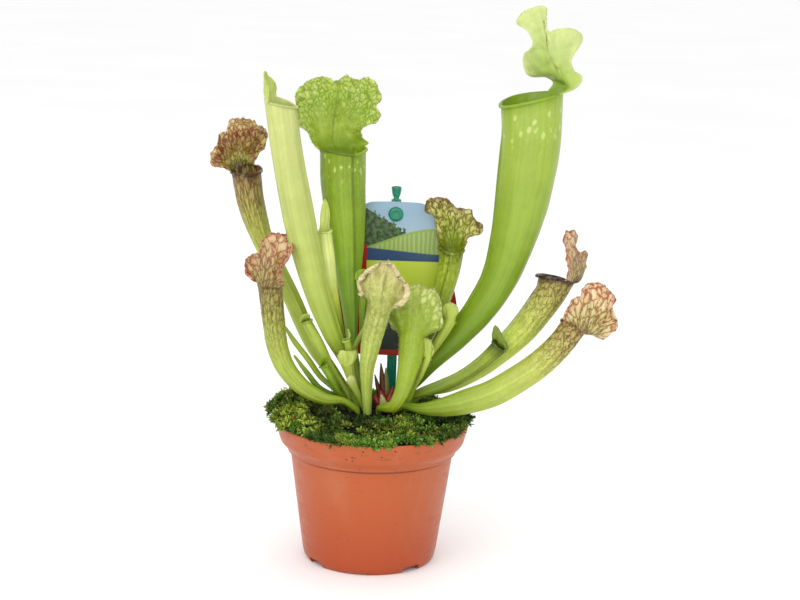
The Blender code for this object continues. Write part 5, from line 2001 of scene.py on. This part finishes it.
GREEN_SKIN = LeafFinish(
    "leaf_green_windows",
    ((0.0, (137, 183, 70)), (0.15, (166, 210, 88)), (0.35, (170, 202, 66)),
     (0.47, (162, 190, 60)), (0.5, (158, 184, 54)), (0.54, (196, 212, 84)),
     (0.62, (186, 206, 80)), (0.8, (184, 206, 80)), (1.0, (216, 228, 112))),
    Veins.WINDOWS, (92, 130, 36), ((0.0, 0.1), (0.45, 0.2), (0.55, 0.2), (0.75, 0.55), (1.0, 0.7)),
    0.13, (228, 238, 150), ((0.0, 0.0), (0.438, 0.0), (0.458, 0.7), (0.494, 0.95), (0.5, 0.0),
                            (0.6, 0.05), (0.72, 0.45), (0.9, 0.8), (1.0, 0.5)),
    None, 0.4, keel_shade=0.75, spine=0.35, dots=1.45, sparse=0.12)
TALL_SKIN = LeafFinish(
    "leaf_tall_green",
    ((0.0, (109, 148, 36)), (0.12, (135, 168, 48)), (0.28, (157, 187, 65)),
     (0.42, (179, 204, 84)), (0.485, (184, 208, 93)), (0.5, (157, 186, 56)),
     (0.55, (193, 213, 108)), (0.75, (208, 223, 138)), (1.0, (230, 238, 164))),
    Veins.WINDOWS, (128, 160, 58), ((0.0, 0.1), (0.45, 0.12), (0.6, 0.06), (1.0, 0.1)),
    0.12, (232, 243, 158), ((0.0, 0.0), (0.425, 0.0), (0.45, 0.6), (0.484, 0.75), (0.495, 0.0),
                            (1.0, 0.05)),
    None, 0.3, 0.36, spine=0.3)
ROSY_LOW_SKIN = LeafFinish(
    "leaf_rosy_hood",
    ((0.0, (137, 166, 44)), (0.14, (175, 199, 68)), (0.3, (196, 214, 91)), (0.4, (192, 203, 90)),
     (0.49, (178, 167, 89)), (0.5, (168, 148, 81)), (0.55, (196, 178, 107)),
     (0.75, (216, 188, 136)), (0.92, (234, 192, 150)), (1.0, (234, 176, 142))),
    Veins.NET, (98, 44, 30), ((0.0, 0.0), (0.22, 0.1), (0.34, 0.4), (0.44, 0.85), (0.6, 0.85),
                              (1.0, 0.9)),
    0.13, (255, 232, 186), ((0.0, 0.0), (0.5, 0.1), (0.7, 0.5), (1.0, 0.65)), (200, 92, 66), 0.5,
    small=0.1, blush=(164, 62, 44))
DOWNY_SKIN = LeafFinish(
    "leaf_downy_pale",
    ((0.0, (165, 194, 72)), (0.25, (219, 239, 113)), (0.44, (211, 223, 116)),
     (0.5, (203, 212, 109)), (0.6, (222, 226, 130)), (0.76, (246, 242, 158)),
     (0.9, (272, 258, 192)), (1.0, (276, 250, 200))),
    Veins.NET, (122, 116, 56), ((0.0, 0.1), (0.3, 0.4), (0.5, 0.45), (0.7, 0.3), (1.0, 0.25)),
    0.12, (236, 234, 182), ((0.0, 0.0), (0.5, 0.2), (0.8, 0.5), (1.0, 0.5)),
    (240, 206, 178), 0.7, 0.62, small=0.3)
FRESH_SKIN = LeafFinish(
    "leaf_fresh_windows",
    ((0.0, (136, 162, 44)), (0.2, (171, 193, 61)), (0.4, (179, 203, 67)), (0.5, (175, 197, 65)),
     (0.6, (184, 204, 80)), (0.85, (212, 226, 112)), (1.0, (230, 238, 140))),
    Veins.WINDOWS, (112, 142, 46), ((0.0, 0.1), (0.4, 0.2), (0.6, 0.3), (1.0, 0.6)),
    0.15, (236, 242, 176), ((0.0, 0.0), (0.56, 0.0), (0.66, 0.4), (0.8, 0.85), (1.0, 0.85)),
    None, 0.4)
OLIVE_SKIN = LeafFinish(
    "leaf_olive_net",
    ((0.0, (142, 161, 46)), (0.25, (177, 195, 68)), (0.44, (199, 223, 72)),
     (0.5, (152, 171, 42)), (0.55, (176, 192, 66)), (0.7, (204, 204, 92)),
     (0.85, (216, 204, 116)), (1.0, (204, 178, 116))),
    Veins.NET, (92, 70, 28), ((0.0, 0.05), (0.3, 0.2), (0.46, 0.45), (0.6, 0.75), (1.0, 0.85)),
    0.13, (255, 246, 176), ((0.0, 0.0), (0.5, 0.1), (0.6, 0.4), (0.8, 0.8), (1.0, 0.8)),
    (130, 84, 62), 0.5, small=0.2, keel_shade=0.6)
ROSY_SKIN = LeafFinish(
    "leaf_rosy_net",
    ((0.0, (198, 222, 73)), (0.22, (231, 253, 109)), (0.34, (229, 250, 109)),
     (0.42, (222, 229, 108)), (0.48, (208, 195, 102)), (0.5, (62, 44, 34)),
     (0.53, (194, 176, 122)), (0.75, (211, 177, 136)), (1.0, (242, 206, 168))),
    Veins.NET, (88, 46, 32), ((0.0, 0.0), (0.3, 0.1), (0.38, 0.5), (0.46, 0.8), (0.6, 0.7),
                              (1.0, 0.8)),
    0.12, (250, 222, 186), ((0.0, 0.0), (0.5, 0.15), (0.75, 0.5), (1.0, 0.65)), (190, 96, 74), 0.5,
    small=0.15, blush=(160, 66, 50))
RED_NET_SKIN = LeafFinish(
    "leaf_red_net",
    ((0.0, (135, 168, 43)), (0.16, (171, 196, 68)), (0.3, (200, 219, 97)),
     (0.4, (219, 226, 109)), (0.47, (209, 193, 105)), (0.5, (188, 160, 90)),
     (0.56, (214, 205, 124)), (0.7, (228, 212, 140)), (0.86, (248, 212, 164)),
     (1.0, (262, 218, 176))),
    Veins.NET, (96, 40, 30), ((0.0, 0.0), (0.34, 0.08), (0.4, 0.5), (0.45, 0.9), (0.62, 0.9),
                              (1.0, 0.95)),
    0.12, (262, 244, 206), ((0.0, 0.0), (0.5, 0.1), (0.7, 0.5), (1.0, 0.7)), (190, 86, 62), 0.5,
    small=0.1, blush=(164, 66, 46))
GREY_GREEN_SKIN = LeafFinish(
    "leaf_grey_green",
    ((0.0, (127, 156, 51)), (0.25, (156, 179, 68)), (0.45, (176, 195, 74)), (0.5, (95, 109, 42)),
     (0.7, (156, 174, 72)), (1.0, (139, 153, 66))),
    Veins.FAINT, (84, 98, 38), ((0.0, 0.1), (1.0, 0.35)), 0.12, ribs=0.8, keel_shade=0.8)
# Painted light: a brighter copy of the pale skin that makes up for the shade where this young leaf
# stands between two tall ones.
PALE_SKIN_PAINTED_LIGHT = replace(
    PALE_SKIN, name="leaf_pale_painted_light",
    colours=((0.0, (136, 164, 40)), (0.25, (166, 194, 56)), (0.33, (252, 268, 122)),
             (0.4, (280, 296, 184)), (0.47, (268, 280, 172)), (0.5, (250, 264, 160)),
             (1.0, (228, 242, 122))))
YOUNG_PALE_SKIN = LeafFinish(
    "leaf_young_pale",
    ((0.0, (136, 164, 41)), (0.25, (178, 204, 68)), (0.47, (206, 224, 101)),
     (0.52, (204, 222, 98)), (1.0, (222, 232, 130))),
    Veins.FAINT, (140, 168, 62), ((0.0, 0.0), (1.0, 0.3)), 0.12, ribs=0.7)
YOUNG_GREEN_SKIN = LeafFinish(
    "leaf_young_green",
    ((0.0, (84, 110, 33)), (0.3, (122, 152, 46)), (0.47, (170, 200, 64)), (0.52, (164, 193, 58)),
     (1.0, (176, 204, 68))),
    Veins.FAINT, (96, 128, 38), ((0.0, 0.1), (1.0, 0.4)), 0.13, ribs=0.5, keel_shade=0.5)
BUD_SKIN = LeafFinish(
    "leaf_bud", ((0.0, (150, 180, 70)), (0.3, (190, 206, 96)), (0.4, (214, 218, 134)),
                 (0.5, (228, 230, 152))), ribs=0.2)

CALM = {"waves": 1, "ruffle": 0.4, "frill": 0.2}      # a small hood with a plain edge
SMALL = {"front_cells": 9, "rows": 30, "back_cells": 24, "hood_rows": 12, "wall": 0.6,
         "lip": 0.3, "wing": 0.4, "rib": 0.05, "ribs": 7, "lanes": 9, "cell": 3.0,
         "sway": 0.2, "spout": 0.3}

PITCHERS = (
    Pitcher("pitcher_far_left", "leaf_brown",
        ((-9.8, 2, 96.5, 4.4), (-24, 4.5, 115, 7.5), (-38, 8.5, 133, 10), (-53, 13, 163, 10.8),
         (-70, 16, 195, 12.6), (-78.5, 15, 220, 16.6), (-82, 14, 241, 18)), -62,
        Hood(((-12, 1.9), (-16.8, 1.2), (-18.8, 6.2), (-17.2, 11.5), (-14.6, 17), (-13.4, 21.5),
             (-7.6, 23), (-7, 29), (-4, 31.5), (1.9, 33.8), (5.6, 32.6), (10, 29.6), (14.2, 25.6),
             (17, 20), (15.6, 12.5), (11.4, 8), (8.5, 3.5)), -84, lean=4, cup=3, crest=7,
             waves=4.5, ruffle=4.2, frill=1.6, phase=0.6, crumple=1.4, spread=1.4, roll=2.0,
             curl=0.3),
        BROWN_SKIN, neck=74, wing=1.1, lanes=24, cell=9.0),
    Pitcher("pitcher_pale_tall", "leaf_pale",
        ((-8.6, 11, 96.5, 4.6), (-17.5, 8, 122.5, 7.5), (-26.5, 1, 142.5, 11.2),
         (-37, -5, 172, 15.4), (-47.3, -9, 213.5, 19.3), (-55, -10, 252, 18.8),
         (-60.3, -10, 286, 18.7)), -14,
        Hood(((-8.6, 3), (-8.6, 6.5), (-6.4, 10.5), (-3, 13.5), (0.3, 16.2), (3, 13.5),
             (6.4, 10.5), (8.6, 6.5), (8.6, 3)), -14, cup=5.5, waves=1, ruffle=0.3, frill=0.2),
        PALE_SKIN, neck=62, tilt=-0.42, back_cells=44, hood_rows=20, rib=0.22, ribs=7, wing=0.8,
        lip=0.5, spout=0.2),
    Pitcher("pitcher_middle", "leaf_green",
        ((-6.5, 20, 96.5, 4.6), (-14, 20, 130, 6.3), (-15.5, 20, 149, 9.4), (-17, 20, 168, 13.8),
         (-19.5, 20, 202, 23.7), (-22, 19.5, 232, 28.4), (-22.8, 19, 255, 28.8)), -62,
        Hood(((-14.0, 5.0), (-16.9, 11.2), (-20.7, 13.2), (-27, 17.6), (-23.8, 23.8),
             (-24.5, 33.2), (-19.5, 40.7), (-12, 44.4), (-7.3, 45.4), (-2, 43.8), (1.2, 43.2),
             (6.8, 46.5), (10.5, 43.8), (15.5, 43.8), (19.9, 45.7), (25.5, 40.7), (28.9, 32.3),
             (25.3, 27.8), (27.8, 22.2), (25.3, 17.2), (20.5, 15.6), (16.6, 12.4), (17.6, 8.2),
             (21.4, 4.2)), -88, lean=-2, cup=4, crest=8, waves=6, ruffle=2.6, frill=1.3, phase=1.2,
             crumple=0.8),
        GREEN_SKIN, neck=84, tilt=0.08, depth=0.86, back_cells=80, hood_rows=36, lanes=20,
        cell=5.5, lip=0.9, spout=2.6, wing=2.2),
    Pitcher("pitcher_tall_right", "leaf_green",
        ((13.5, 8, 98, 5), (24, 9, 109, 7.5), (36, 8, 124.5, 11.3), (52, 6, 141.5, 14.3),
         (66, 5, 160, 18), (77, 5, 180, 21), (84.5, 5.5, 205, 26.5), (89.5, 7, 232, 32.5),
         (92.5, 8, 264, 36), (92.3, 8, 291.5, 36.4)), -171,
        Hood(((-7.4, 4.8), (-12.9, 8.4), (-18.3, 7.8), (-23.4, 8.7), (-26.2, 15.3), (-25.3, 21.5),
             (-20.6, 25.9), (-19.6, 30.9), (-23.7, 37.1), (-29.6, 40.9), (-26.2, 47.1),
             (-18.3, 50.9), (-11.8, 51.3), (-11.2, 43.4), (-9.5, 36.5), (-6.2, 37.8), (1.9, 38.5),
             (8.2, 34.6), (8.8, 30.9), (4.4, 21.5), (4.1, 17.1), (6.9, 10.9), (11.9, 9),
             (9.8, 3.6)), -104, cup=2, crest=3, waves=3, ruffle=2.2, frill=0.5, phase=2.4,
             crumple=1.2, fold=0.6, spine=(-0.5, 3.0, -12.7, 45.0)),
        TALL_SKIN, neck=48, tilt=-0.2, back_cells=80, hood_rows=36, lanes=24, cell=5.0, lip=0.8,
        rows=60, spout=1.8),
    Pitcher("pitcher_left_low", "leaf_veined",
        ((-9, -10, 96.5, 4), (-18, -13, 103.3, 4.4), (-30, -15, 105, 7.4), (-44, -15, 112.5, 10.2),
         (-54, -13.5, 123.5, 11.7), (-59.5, -12, 137, 13), (-62, -12, 153, 13.8),
         (-64.5, -12, 174, 14.8)), 66,
        Hood(((-6.5, 3.7), (-9.5, 5.5), (-12.4, 7.4), (-12, 16), (-7, 20.8), (-2.6, 22),
             (-2.4, 30), (2, 34), (9, 33.6), (15, 32.6), (18.5, 26.5), (15, 18), (10, 12),
             (11, 3.7), (8.3, -1.9)), 84, lean=6, cup=4, crest=9, waves=4, ruffle=3.8, frill=1.5,
             phase=0.4, crumple=1.8, hold=1.2, roll=4.0, curl=0.5),
        ROSY_LOW_SKIN, neck=84, wing=1.0, lanes=16, cell=5.5, mesh=3.6),
    Pitcher("pitcher_front", "leaf_pale",
        ((-3, -14, 96.5, 5), (-3.8, -14.5, 112, 6.8), (-3.8, -16, 125.5, 8.9),
         (-1.9, -18.5, 140.5, 11.9), (0.9, -21, 155.5, 13.7), (3.3, -22, 164.5, 13.6)), 84,
        Hood(((-7.9, 6.7), (-12.2, 9.6), (-12.8, 13.7), (-12.4, 17.5), (-9.2, 23), (-3.4, 28.4),
             (2.3, 31.2), (6.9, 30.2), (10, 24.4), (14.8, 19), (17.3, 12), (14.8, 6.1),
             (12.2, 3.7)), 88, lean=8, cup=6, crest=10, waves=6.5, ruffle=5.6, frill=3.2,
             phase=1.0, crumple=3.4, hold=1.35, roll=7.0, curl=0.9),
        DOWNY_SKIN, neck=82, wing=1.0, lanes=11, cell=4.5, rows=44),
    Pitcher("pitcher_front_right", "leaf_green",
        ((4, -10, 98.2, 4.3), (8, -19, 101.5, 6.1), (13.3, -25, 104.5, 7.6),
         (17.6, -24.5, 112.5, 9.3), (20.6, -20, 123.5, 12.2), (22.8, -14.5, 134.5, 15.8),
         (23.6, -10.5, 144.5, 17)), 74,
        Hood(((-14.1, 6.8), (-15, 14), (-12, 21), (-7, 26), (-1, 28.5), (3.1, 30.1), (8.3, 28.3),
             (15.4, 27.1), (18.5, 21.5), (19.7, 9.2), (19.1, 3.7), (14.8, 0.9)), 84, lean=8, cup=6,
             crest=10, waves=4, ruffle=3.2, frill=1.2, phase=0.2, crumple=1.6, hold=1.3, roll=3.5,
             curl=0.4),
        FRESH_SKIN, neck=84, wing=1.0, lanes=12, cell=4.5, mesh=3.0),
    Pitcher("pitcher_behind", "leaf_veined",
        ((14.3, 17.5, 96.5, 4.6), (22.5, 19, 118, 7.6), (32, 19, 139, 10.7),
         (39, 18.5, 158.5, 12.6), (43, 17.5, 174, 13.8), (45.4, 17, 185.5, 14.4),
         (46.2, 16.5, 195, 15.3)), -98,
        Hood(((-10.2, 5), (-12.6, 19), (-19.2, 22.4), (-18, 29.6), (-14, 33), (-5, 32.4),
             (2.6, 25), (10.8, 24.6), (12.8, 19), (18.2, 16), (17.4, 9.2), (9.8, 7)), -90, lean=2,
             cup=3, crest=7, waves=4.5, ruffle=3.0, frill=1.1, phase=2.6, crumple=1.0, curl=0.3),
        OLIVE_SKIN, neck=84, wing=1.2, lanes=16, cell=5.5, tilt=-0.05, mesh=3.5),
    Pitcher("pitcher_right_rosy", "leaf_veined",
        ((20.5, 3, 97.6, 4.4), (30, 1, 106, 5.5), (48, 0, 112, 7.5), (65, 0, 122, 9.9),
         (77.5, 0, 133, 12.4), (90.5, 0, 146.5, 14.9), (100, 0, 159.5, 16.1),
         (107, 0, 170.5, 17.3), (111.5, 0, 181, 19.5)), 152,
        Hood(((-7, 1.2), (-4.6, 5), (-3.4, 9.5), (-4, 15), (-4.6, 20), (-4, 25), (-2.6, 29.5),
             (1.5, 31.8), (6.6, 31), (8.4, 27.5), (5.4, 23.5), (5, 20.4), (7, 18.4), (11, 18.4),
             (14.8, 16), (15.8, 11), (15, 7), (11, 2)), 122, lean=8, cup=2.5, crest=3, waves=4,
             ruffle=2.4, frill=1.6, phase=0.9, crumple=1.4, spread=2.2),
        ROSY_SKIN, neck=66, tilt=-0.3, depth=1.1, wing=1.1, lanes=16, lip=1.7, mesh=3.2),
    Pitcher("pitcher_right_low", "leaf_veined",
        ((13.5, -11, 97.4, 3.8), (19.5, -13, 101, 4.2), (30, -17, 100.8, 7),
         (43.5, -20, 103, 11.7), (57, -22, 107.2, 15.3), (72, -23, 112.8, 16.5),
         (87, -22, 121.5, 16.8), (102, -20, 132.5, 16.5), (113.5, -18, 144, 15.9),
         (121.5, -16.5, 155, 15.9)), 118,
        Hood(((-10, 3.6), (-10.6, 9), (-8.6, 14), (-5.4, 19.2), (0.2, 21), (0.3, 24.8),
             (5.6, 29.2), (13.2, 29.2), (20.2, 22.8), (23.4, 18), (20.2, 12.4), (22.4, 1.2),
             (18.6, -3), (15.2, -6.4), (9.2, -4.4)), 92, lean=4, cup=4, crest=8, waves=4.5,
             ruffle=3.0, frill=1.1, phase=1.7, crumple=1.2, hold=1.1, roll=2.0, curl=0.4),
        RED_NET_SKIN, neck=84, wing=1.1, lanes=14, mesh=4.2),
    Pitcher("pitcher_right_small", "leaf_green",
        ((17.5, -4, 97.4, 3.6), (22, -4.5, 103.5, 3.8), (30, -7, 108.3, 5.6), (42, -9, 113.5, 7.4),
         (54, -11, 120, 7.6), (67, -13, 130, 8.2), (77, -14.5, 141, 9.8)), -168,
        Hood(((-7.6, 1.5), (-8.8, 6), (-8.6, 11), (-7, 15.4), (-4.6, 13), (-1.6, 8), (1.2, 4),
             (1.8, 1)), -104, lean=4, waves=2, ruffle=0.8, frill=0.5),
        GREY_GREEN_SKIN, neck=80, tilt=-0.1, **{**SMALL, "wing": 0.9, "lip": 0.6}),
    Pitcher("young_pitcher_back", "leaf_pale",
        ((-11.2, 16.2, 96.5, 3), (-17.3, 14.4, 121.5, 4.2), (-22.5, 10, 142.5, 6.6),
         (-27.8, 6, 168, 8.8), (-30.3, 4.5, 186, 10), (-33, 3.5, 206, 9.8)), -66,
        Hood(((-1.6, 1.5), (-1.2, 6), (-0.6, 12), (0.6, 17.5), (2.2, 20.5), (4, 17), (5, 11),
             (4.8, 4)), -78, cup=2, **CALM),
        PALE_SKIN_PAINTED_LIGHT, neck=74, tilt=0.1, **{**SMALL, "lip": 0.12}),
    Pitcher("young_pitcher_left", "leaf_pale",
        ((-13.5, -2.5, 96, 3), (-16.5, -2.5, 106, 3.4), (-25.8, -1.8, 120.2, 5),
         (-34.8, -0.5, 135.9, 7.4), (-42.5, 0, 150, 6.4)), -30,
        Hood(fan(3.6, 9), -60, lean=42, **CALM),
        YOUNG_PALE_SKIN, neck=56, **SMALL),
    Pitcher("young_pitcher_low_left", "leaf_pale",
        ((-13.6, -7.2, 96, 2.8), (-17.9, -8.6, 103.6, 3), (-21, -9.3, 108, 3.8),
         (-26.1, -10, 117.2, 5), (-31, -10.5, 125, 5)), -60,
        Hood(fan(3.2, 8), -60, lean=36, **CALM),
        YOUNG_GREEN_SKIN, neck=56, **SMALL),
    Pitcher("young_pitcher_centre", "leaf_pale",
        ((-3, 3, 96, 2.6), (-8, 0, 108, 3), (-11.5, -2, 118, 3.4), (-14.6, -4, 131, 3.9),
         (-16.8, -5.5, 140, 4.6)), -160,
        Hood(fan(2.8, 7), -150, lean=12, waves=1, ruffle=0.6, frill=0.3),
        YOUNG_PALE_SKIN, neck=66, tilt=0.1, **SMALL),
    Pitcher("young_pitcher_broad", "leaf_green",
        ((-5.5, -3.3, 96, 3.2), (-10, -7, 106.8, 3.8), (-14.4, -10.5, 119.8, 6),
         (-16.2, -12, 127, 7.6)), 80,
        Hood(((-5, 2), (-6.2, 6), (-4.6, 9.2), (-1, 9.6), (2.4, 9.6), (5, 10.2), (6.2, 7),
             (4.6, 2)), 84, lean=10, crest=3, cup=2, waves=2, ruffle=1.4, frill=0.6, crumple=0.9,
             hold=1.2),
        YOUNG_PALE_SKIN, neck=80, tilt=0.0, **SMALL),
    Pitcher("young_pitcher_green", "leaf_green",
        ((-3, 14, 96.5, 3), (-7, 12, 130, 3.9), (-8, 10, 155, 4.4), (-7, 8, 171, 5.6)), -60,
        Hood(fan(5.4, 11), -80, lean=0, crest=2, waves=2, ruffle=0.8, frill=0.4),
        YOUNG_GREEN_SKIN, neck=80, tilt=0.0, **SMALL),
    Pitcher("young_pitcher_right", "leaf_green",
        ((12.5, 2, 96.5, 2.8), (17, 0.5, 106, 3), (24, -1, 118, 3.6), (34, -3, 132, 4.8),
         (42, -3.5, 145, 6.4), (46, -4, 154, 8.4)), 82,
        Hood(fan(5.8, 11), 84, lean=8, crest=4, cup=2, waves=2.5, ruffle=1.4, frill=0.6,
             crumple=0.9, hold=1.2),
        YOUNG_PALE_SKIN, neck=76, **SMALL),
    Pitcher("young_pitcher_ruffled", "leaf_pale",
        ((20, -8, 96.5, 2.6), (24, -11, 109, 2.8), (29.5, -14, 122, 3.4), (33, -15, 132, 4.2)), 80,
        Hood(((-3, 2), (-4.4, 6), (-4.6, 10), (-2.2, 12.8), (0.6, 13.4), (2.6, 10.4), (3.4, 6),
             (2.8, 2)), 84, lean=4, crest=3, cup=2, waves=3.5, ruffle=2.0, frill=1.5, crumple=1.8,
             hold=1.3, roll=2.0, curl=0.5),
        YOUNG_PALE_SKIN, neck=80, **SMALL),
)

HAIRS = {"pitcher_far_left": 700, "pitcher_middle": 700, "pitcher_left_low": 700,
         "pitcher_front": 1500, "pitcher_front_right": 900, "pitcher_behind": 500,
         "pitcher_right_rosy": 400, "pitcher_right_low": 700}

BLADES = (
    Blade("thin_leaf_left_outer", "leaf_pale",
        ((-16.5, 1.5, 96, 2.8), (-21, 1.5, 104, 3), (-33, 2, 114.5, 3.6), (-41, 2, 125.5, 3.8),
         (-50, 2, 137, 3.4), (-55.5, 2, 145.5, 1.6)), -60, YOUNG_PALE_SKIN),
    Blade("thin_leaf_left_inner", "leaf_green",
        ((-17.9, -4.2, 96, 2.6), (-22, -5.5, 103, 3), (-33, -7, 109.5, 3.6),
         (-40.5, -7, 118.2, 3.4), (-49, -7, 129.5, 1.6)), -60, YOUNG_GREEN_SKIN),
    Blade("thin_leaf_centre", "leaf_pale",
        ((-5.5, 7, 96, 2.4), (-8, 5.5, 108, 2.6), (-10.5, 4, 118, 2.8), (-13, 3, 131, 3.2),
         (-9.6, 3, 140, 2.8), (-6, 3, 148, 1.4)), -80, YOUNG_PALE_SKIN),
    Blade("small_leaf_front", "leaf_pale",
        ((-4.8, -7.9, 96, 2.2), (-8.0, -11.8, 105.5, 3), (-11.2, -13.3, 112, 4.4),
         (-13.4, -13.8, 116.4, 6), (-13.8, -13.8, 118.6, 4.8)), -80, BUD_SKIN),
)


@dataclass(frozen=True)
class Studio:
    """Pale floor, soft light and the camera at the photograph's view."""

    FLOOR = ((0.93, 0.93, 0.93, 1.0), (0.95, 0.95, 0.95, 1.0))      # linear colours
    LAMPS = (("key", (-0.75, -0.95, 1.25), 0.9, 5.0), ("front", (-0.1, -1.6, 0.75), 1.5, 11.0),
             ("fill", (1.1, -0.9, 0.7), 1.2, 1.0), ("back", (0.3, 1.0, 1.1), 1.0, 2.0))
    SKY = 1.04              # strength of the white sky
    SENSOR = 36.0           # width of the camera's sensor, mm
    REACH = 14.0            # half of the floor's side, metres
    TARGET = (0.0, 0.0, 0.15)       # what the lamps face, metres

    camera: Triple = (-3.5152, -1206.77, 421.616)       # mm
    pitch: float = 0.2094   # radians
    roll: float = 0.0287    # radians
    lens: float = 90.0      # mm

    def build(self) -> None:
        """Build the floor, the lights, the sky and the camera."""
        bm = bmesh.new()
        bmesh.ops.create_grid(bm, x_segments=8, y_segments=8, size=self.REACH)
        floor = linked("floor", stored("floor", bm))
        mix = Recipe("pale_floor")
        tone = mix.blend(mix.span(mix.clouds(mix.place(), 3.0, 2.0), 0.3, 0.7), *self.FLOOR)
        mix.coat(base_color=tone, roughness=0.7, specular_ior_level=0.2)
        floor.data.materials.append(mix.material)
        for lamp in self.LAMPS:
            self.lamp(*lamp)
        world = bpy.data.worlds.new("studio")
        world.use_nodes = True
        sky = world.node_tree.nodes["Background"]
        sky.inputs[0].default_value = (1.0, 1.0, 1.0, 1.0)
        sky.inputs[1].default_value = self.SKY
        bpy.context.scene.world = world
        self.aim_camera()
        bpy.context.scene.view_settings.view_transform = "Standard"

    def lamp(self, name: str, spot: Triple, size: float, power: float) -> None:
        """Hang one soft square lamp that faces the plant.

        Args:
            name: The lamp's name.
            spot: Where it hangs, metres.
            size: Its side, metres.
            power: Its power, watts.
        """
        light = bpy.data.lights.new(name, "AREA")
        light.size = size
        light.energy = power
        made = linked(name, light)
        made.location = spot
        toward = Vector(self.TARGET) - Vector(spot)
        made.rotation_mode = "QUATERNION"
        made.rotation_quaternion = toward.to_track_quat("-Z", "Y")

    def aim_camera(self) -> None:
        """Make the camera, turned about its own axis as the photograph is."""
        lens = bpy.data.cameras.new("camera")
        lens.lens = self.lens
        lens.sensor_width = self.SENSOR
        made = linked("camera", lens)
        forward = Vector((0.0, math.cos(self.pitch), -math.sin(self.pitch)))
        upward = Vector((0.0, math.sin(self.pitch), math.cos(self.pitch)))
        right = Vector((1.0, 0.0, 0.0))
        turned_right = right * math.cos(self.roll) + upward * math.sin(self.roll)
        turned_up = upward * math.cos(self.roll) - right * math.sin(self.roll)
        turn = Matrix((turned_right, turned_up, -forward)).transposed().to_4x4()
        made.matrix_world = Matrix.Translation(Vector(self.camera) * MM) @ turn
        bpy.context.scene.camera = made


def corners(box: tuple[Vector, Vector]) -> list[list[float]]:
    """Give a box's corners as plain lists."""
    return [list(box[0]), list(box[1])]


def main() -> None:
    """Build the studio, the pot with its soil and moss, the card and every leaf."""
    logging.basicConfig(level=logging.INFO, format="%(name)s: %(message)s")
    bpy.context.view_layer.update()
    Studio().build()
    hairs = [Down(leaf, HAIRS[leaf.node]) for leaf in PITCHERS if leaf.node in HAIRS]
    pieces = [Pot(), Soil(), Moss(), Shoots(), Card(), Peg(), *PITCHERS, *BLADES, *hairs]
    for piece in pieces:
        made = piece.build()
        LOG.info("%s: %d faces", made.name, len(made.data.polygons))
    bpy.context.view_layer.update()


if __name__ == "__main__":
    main()
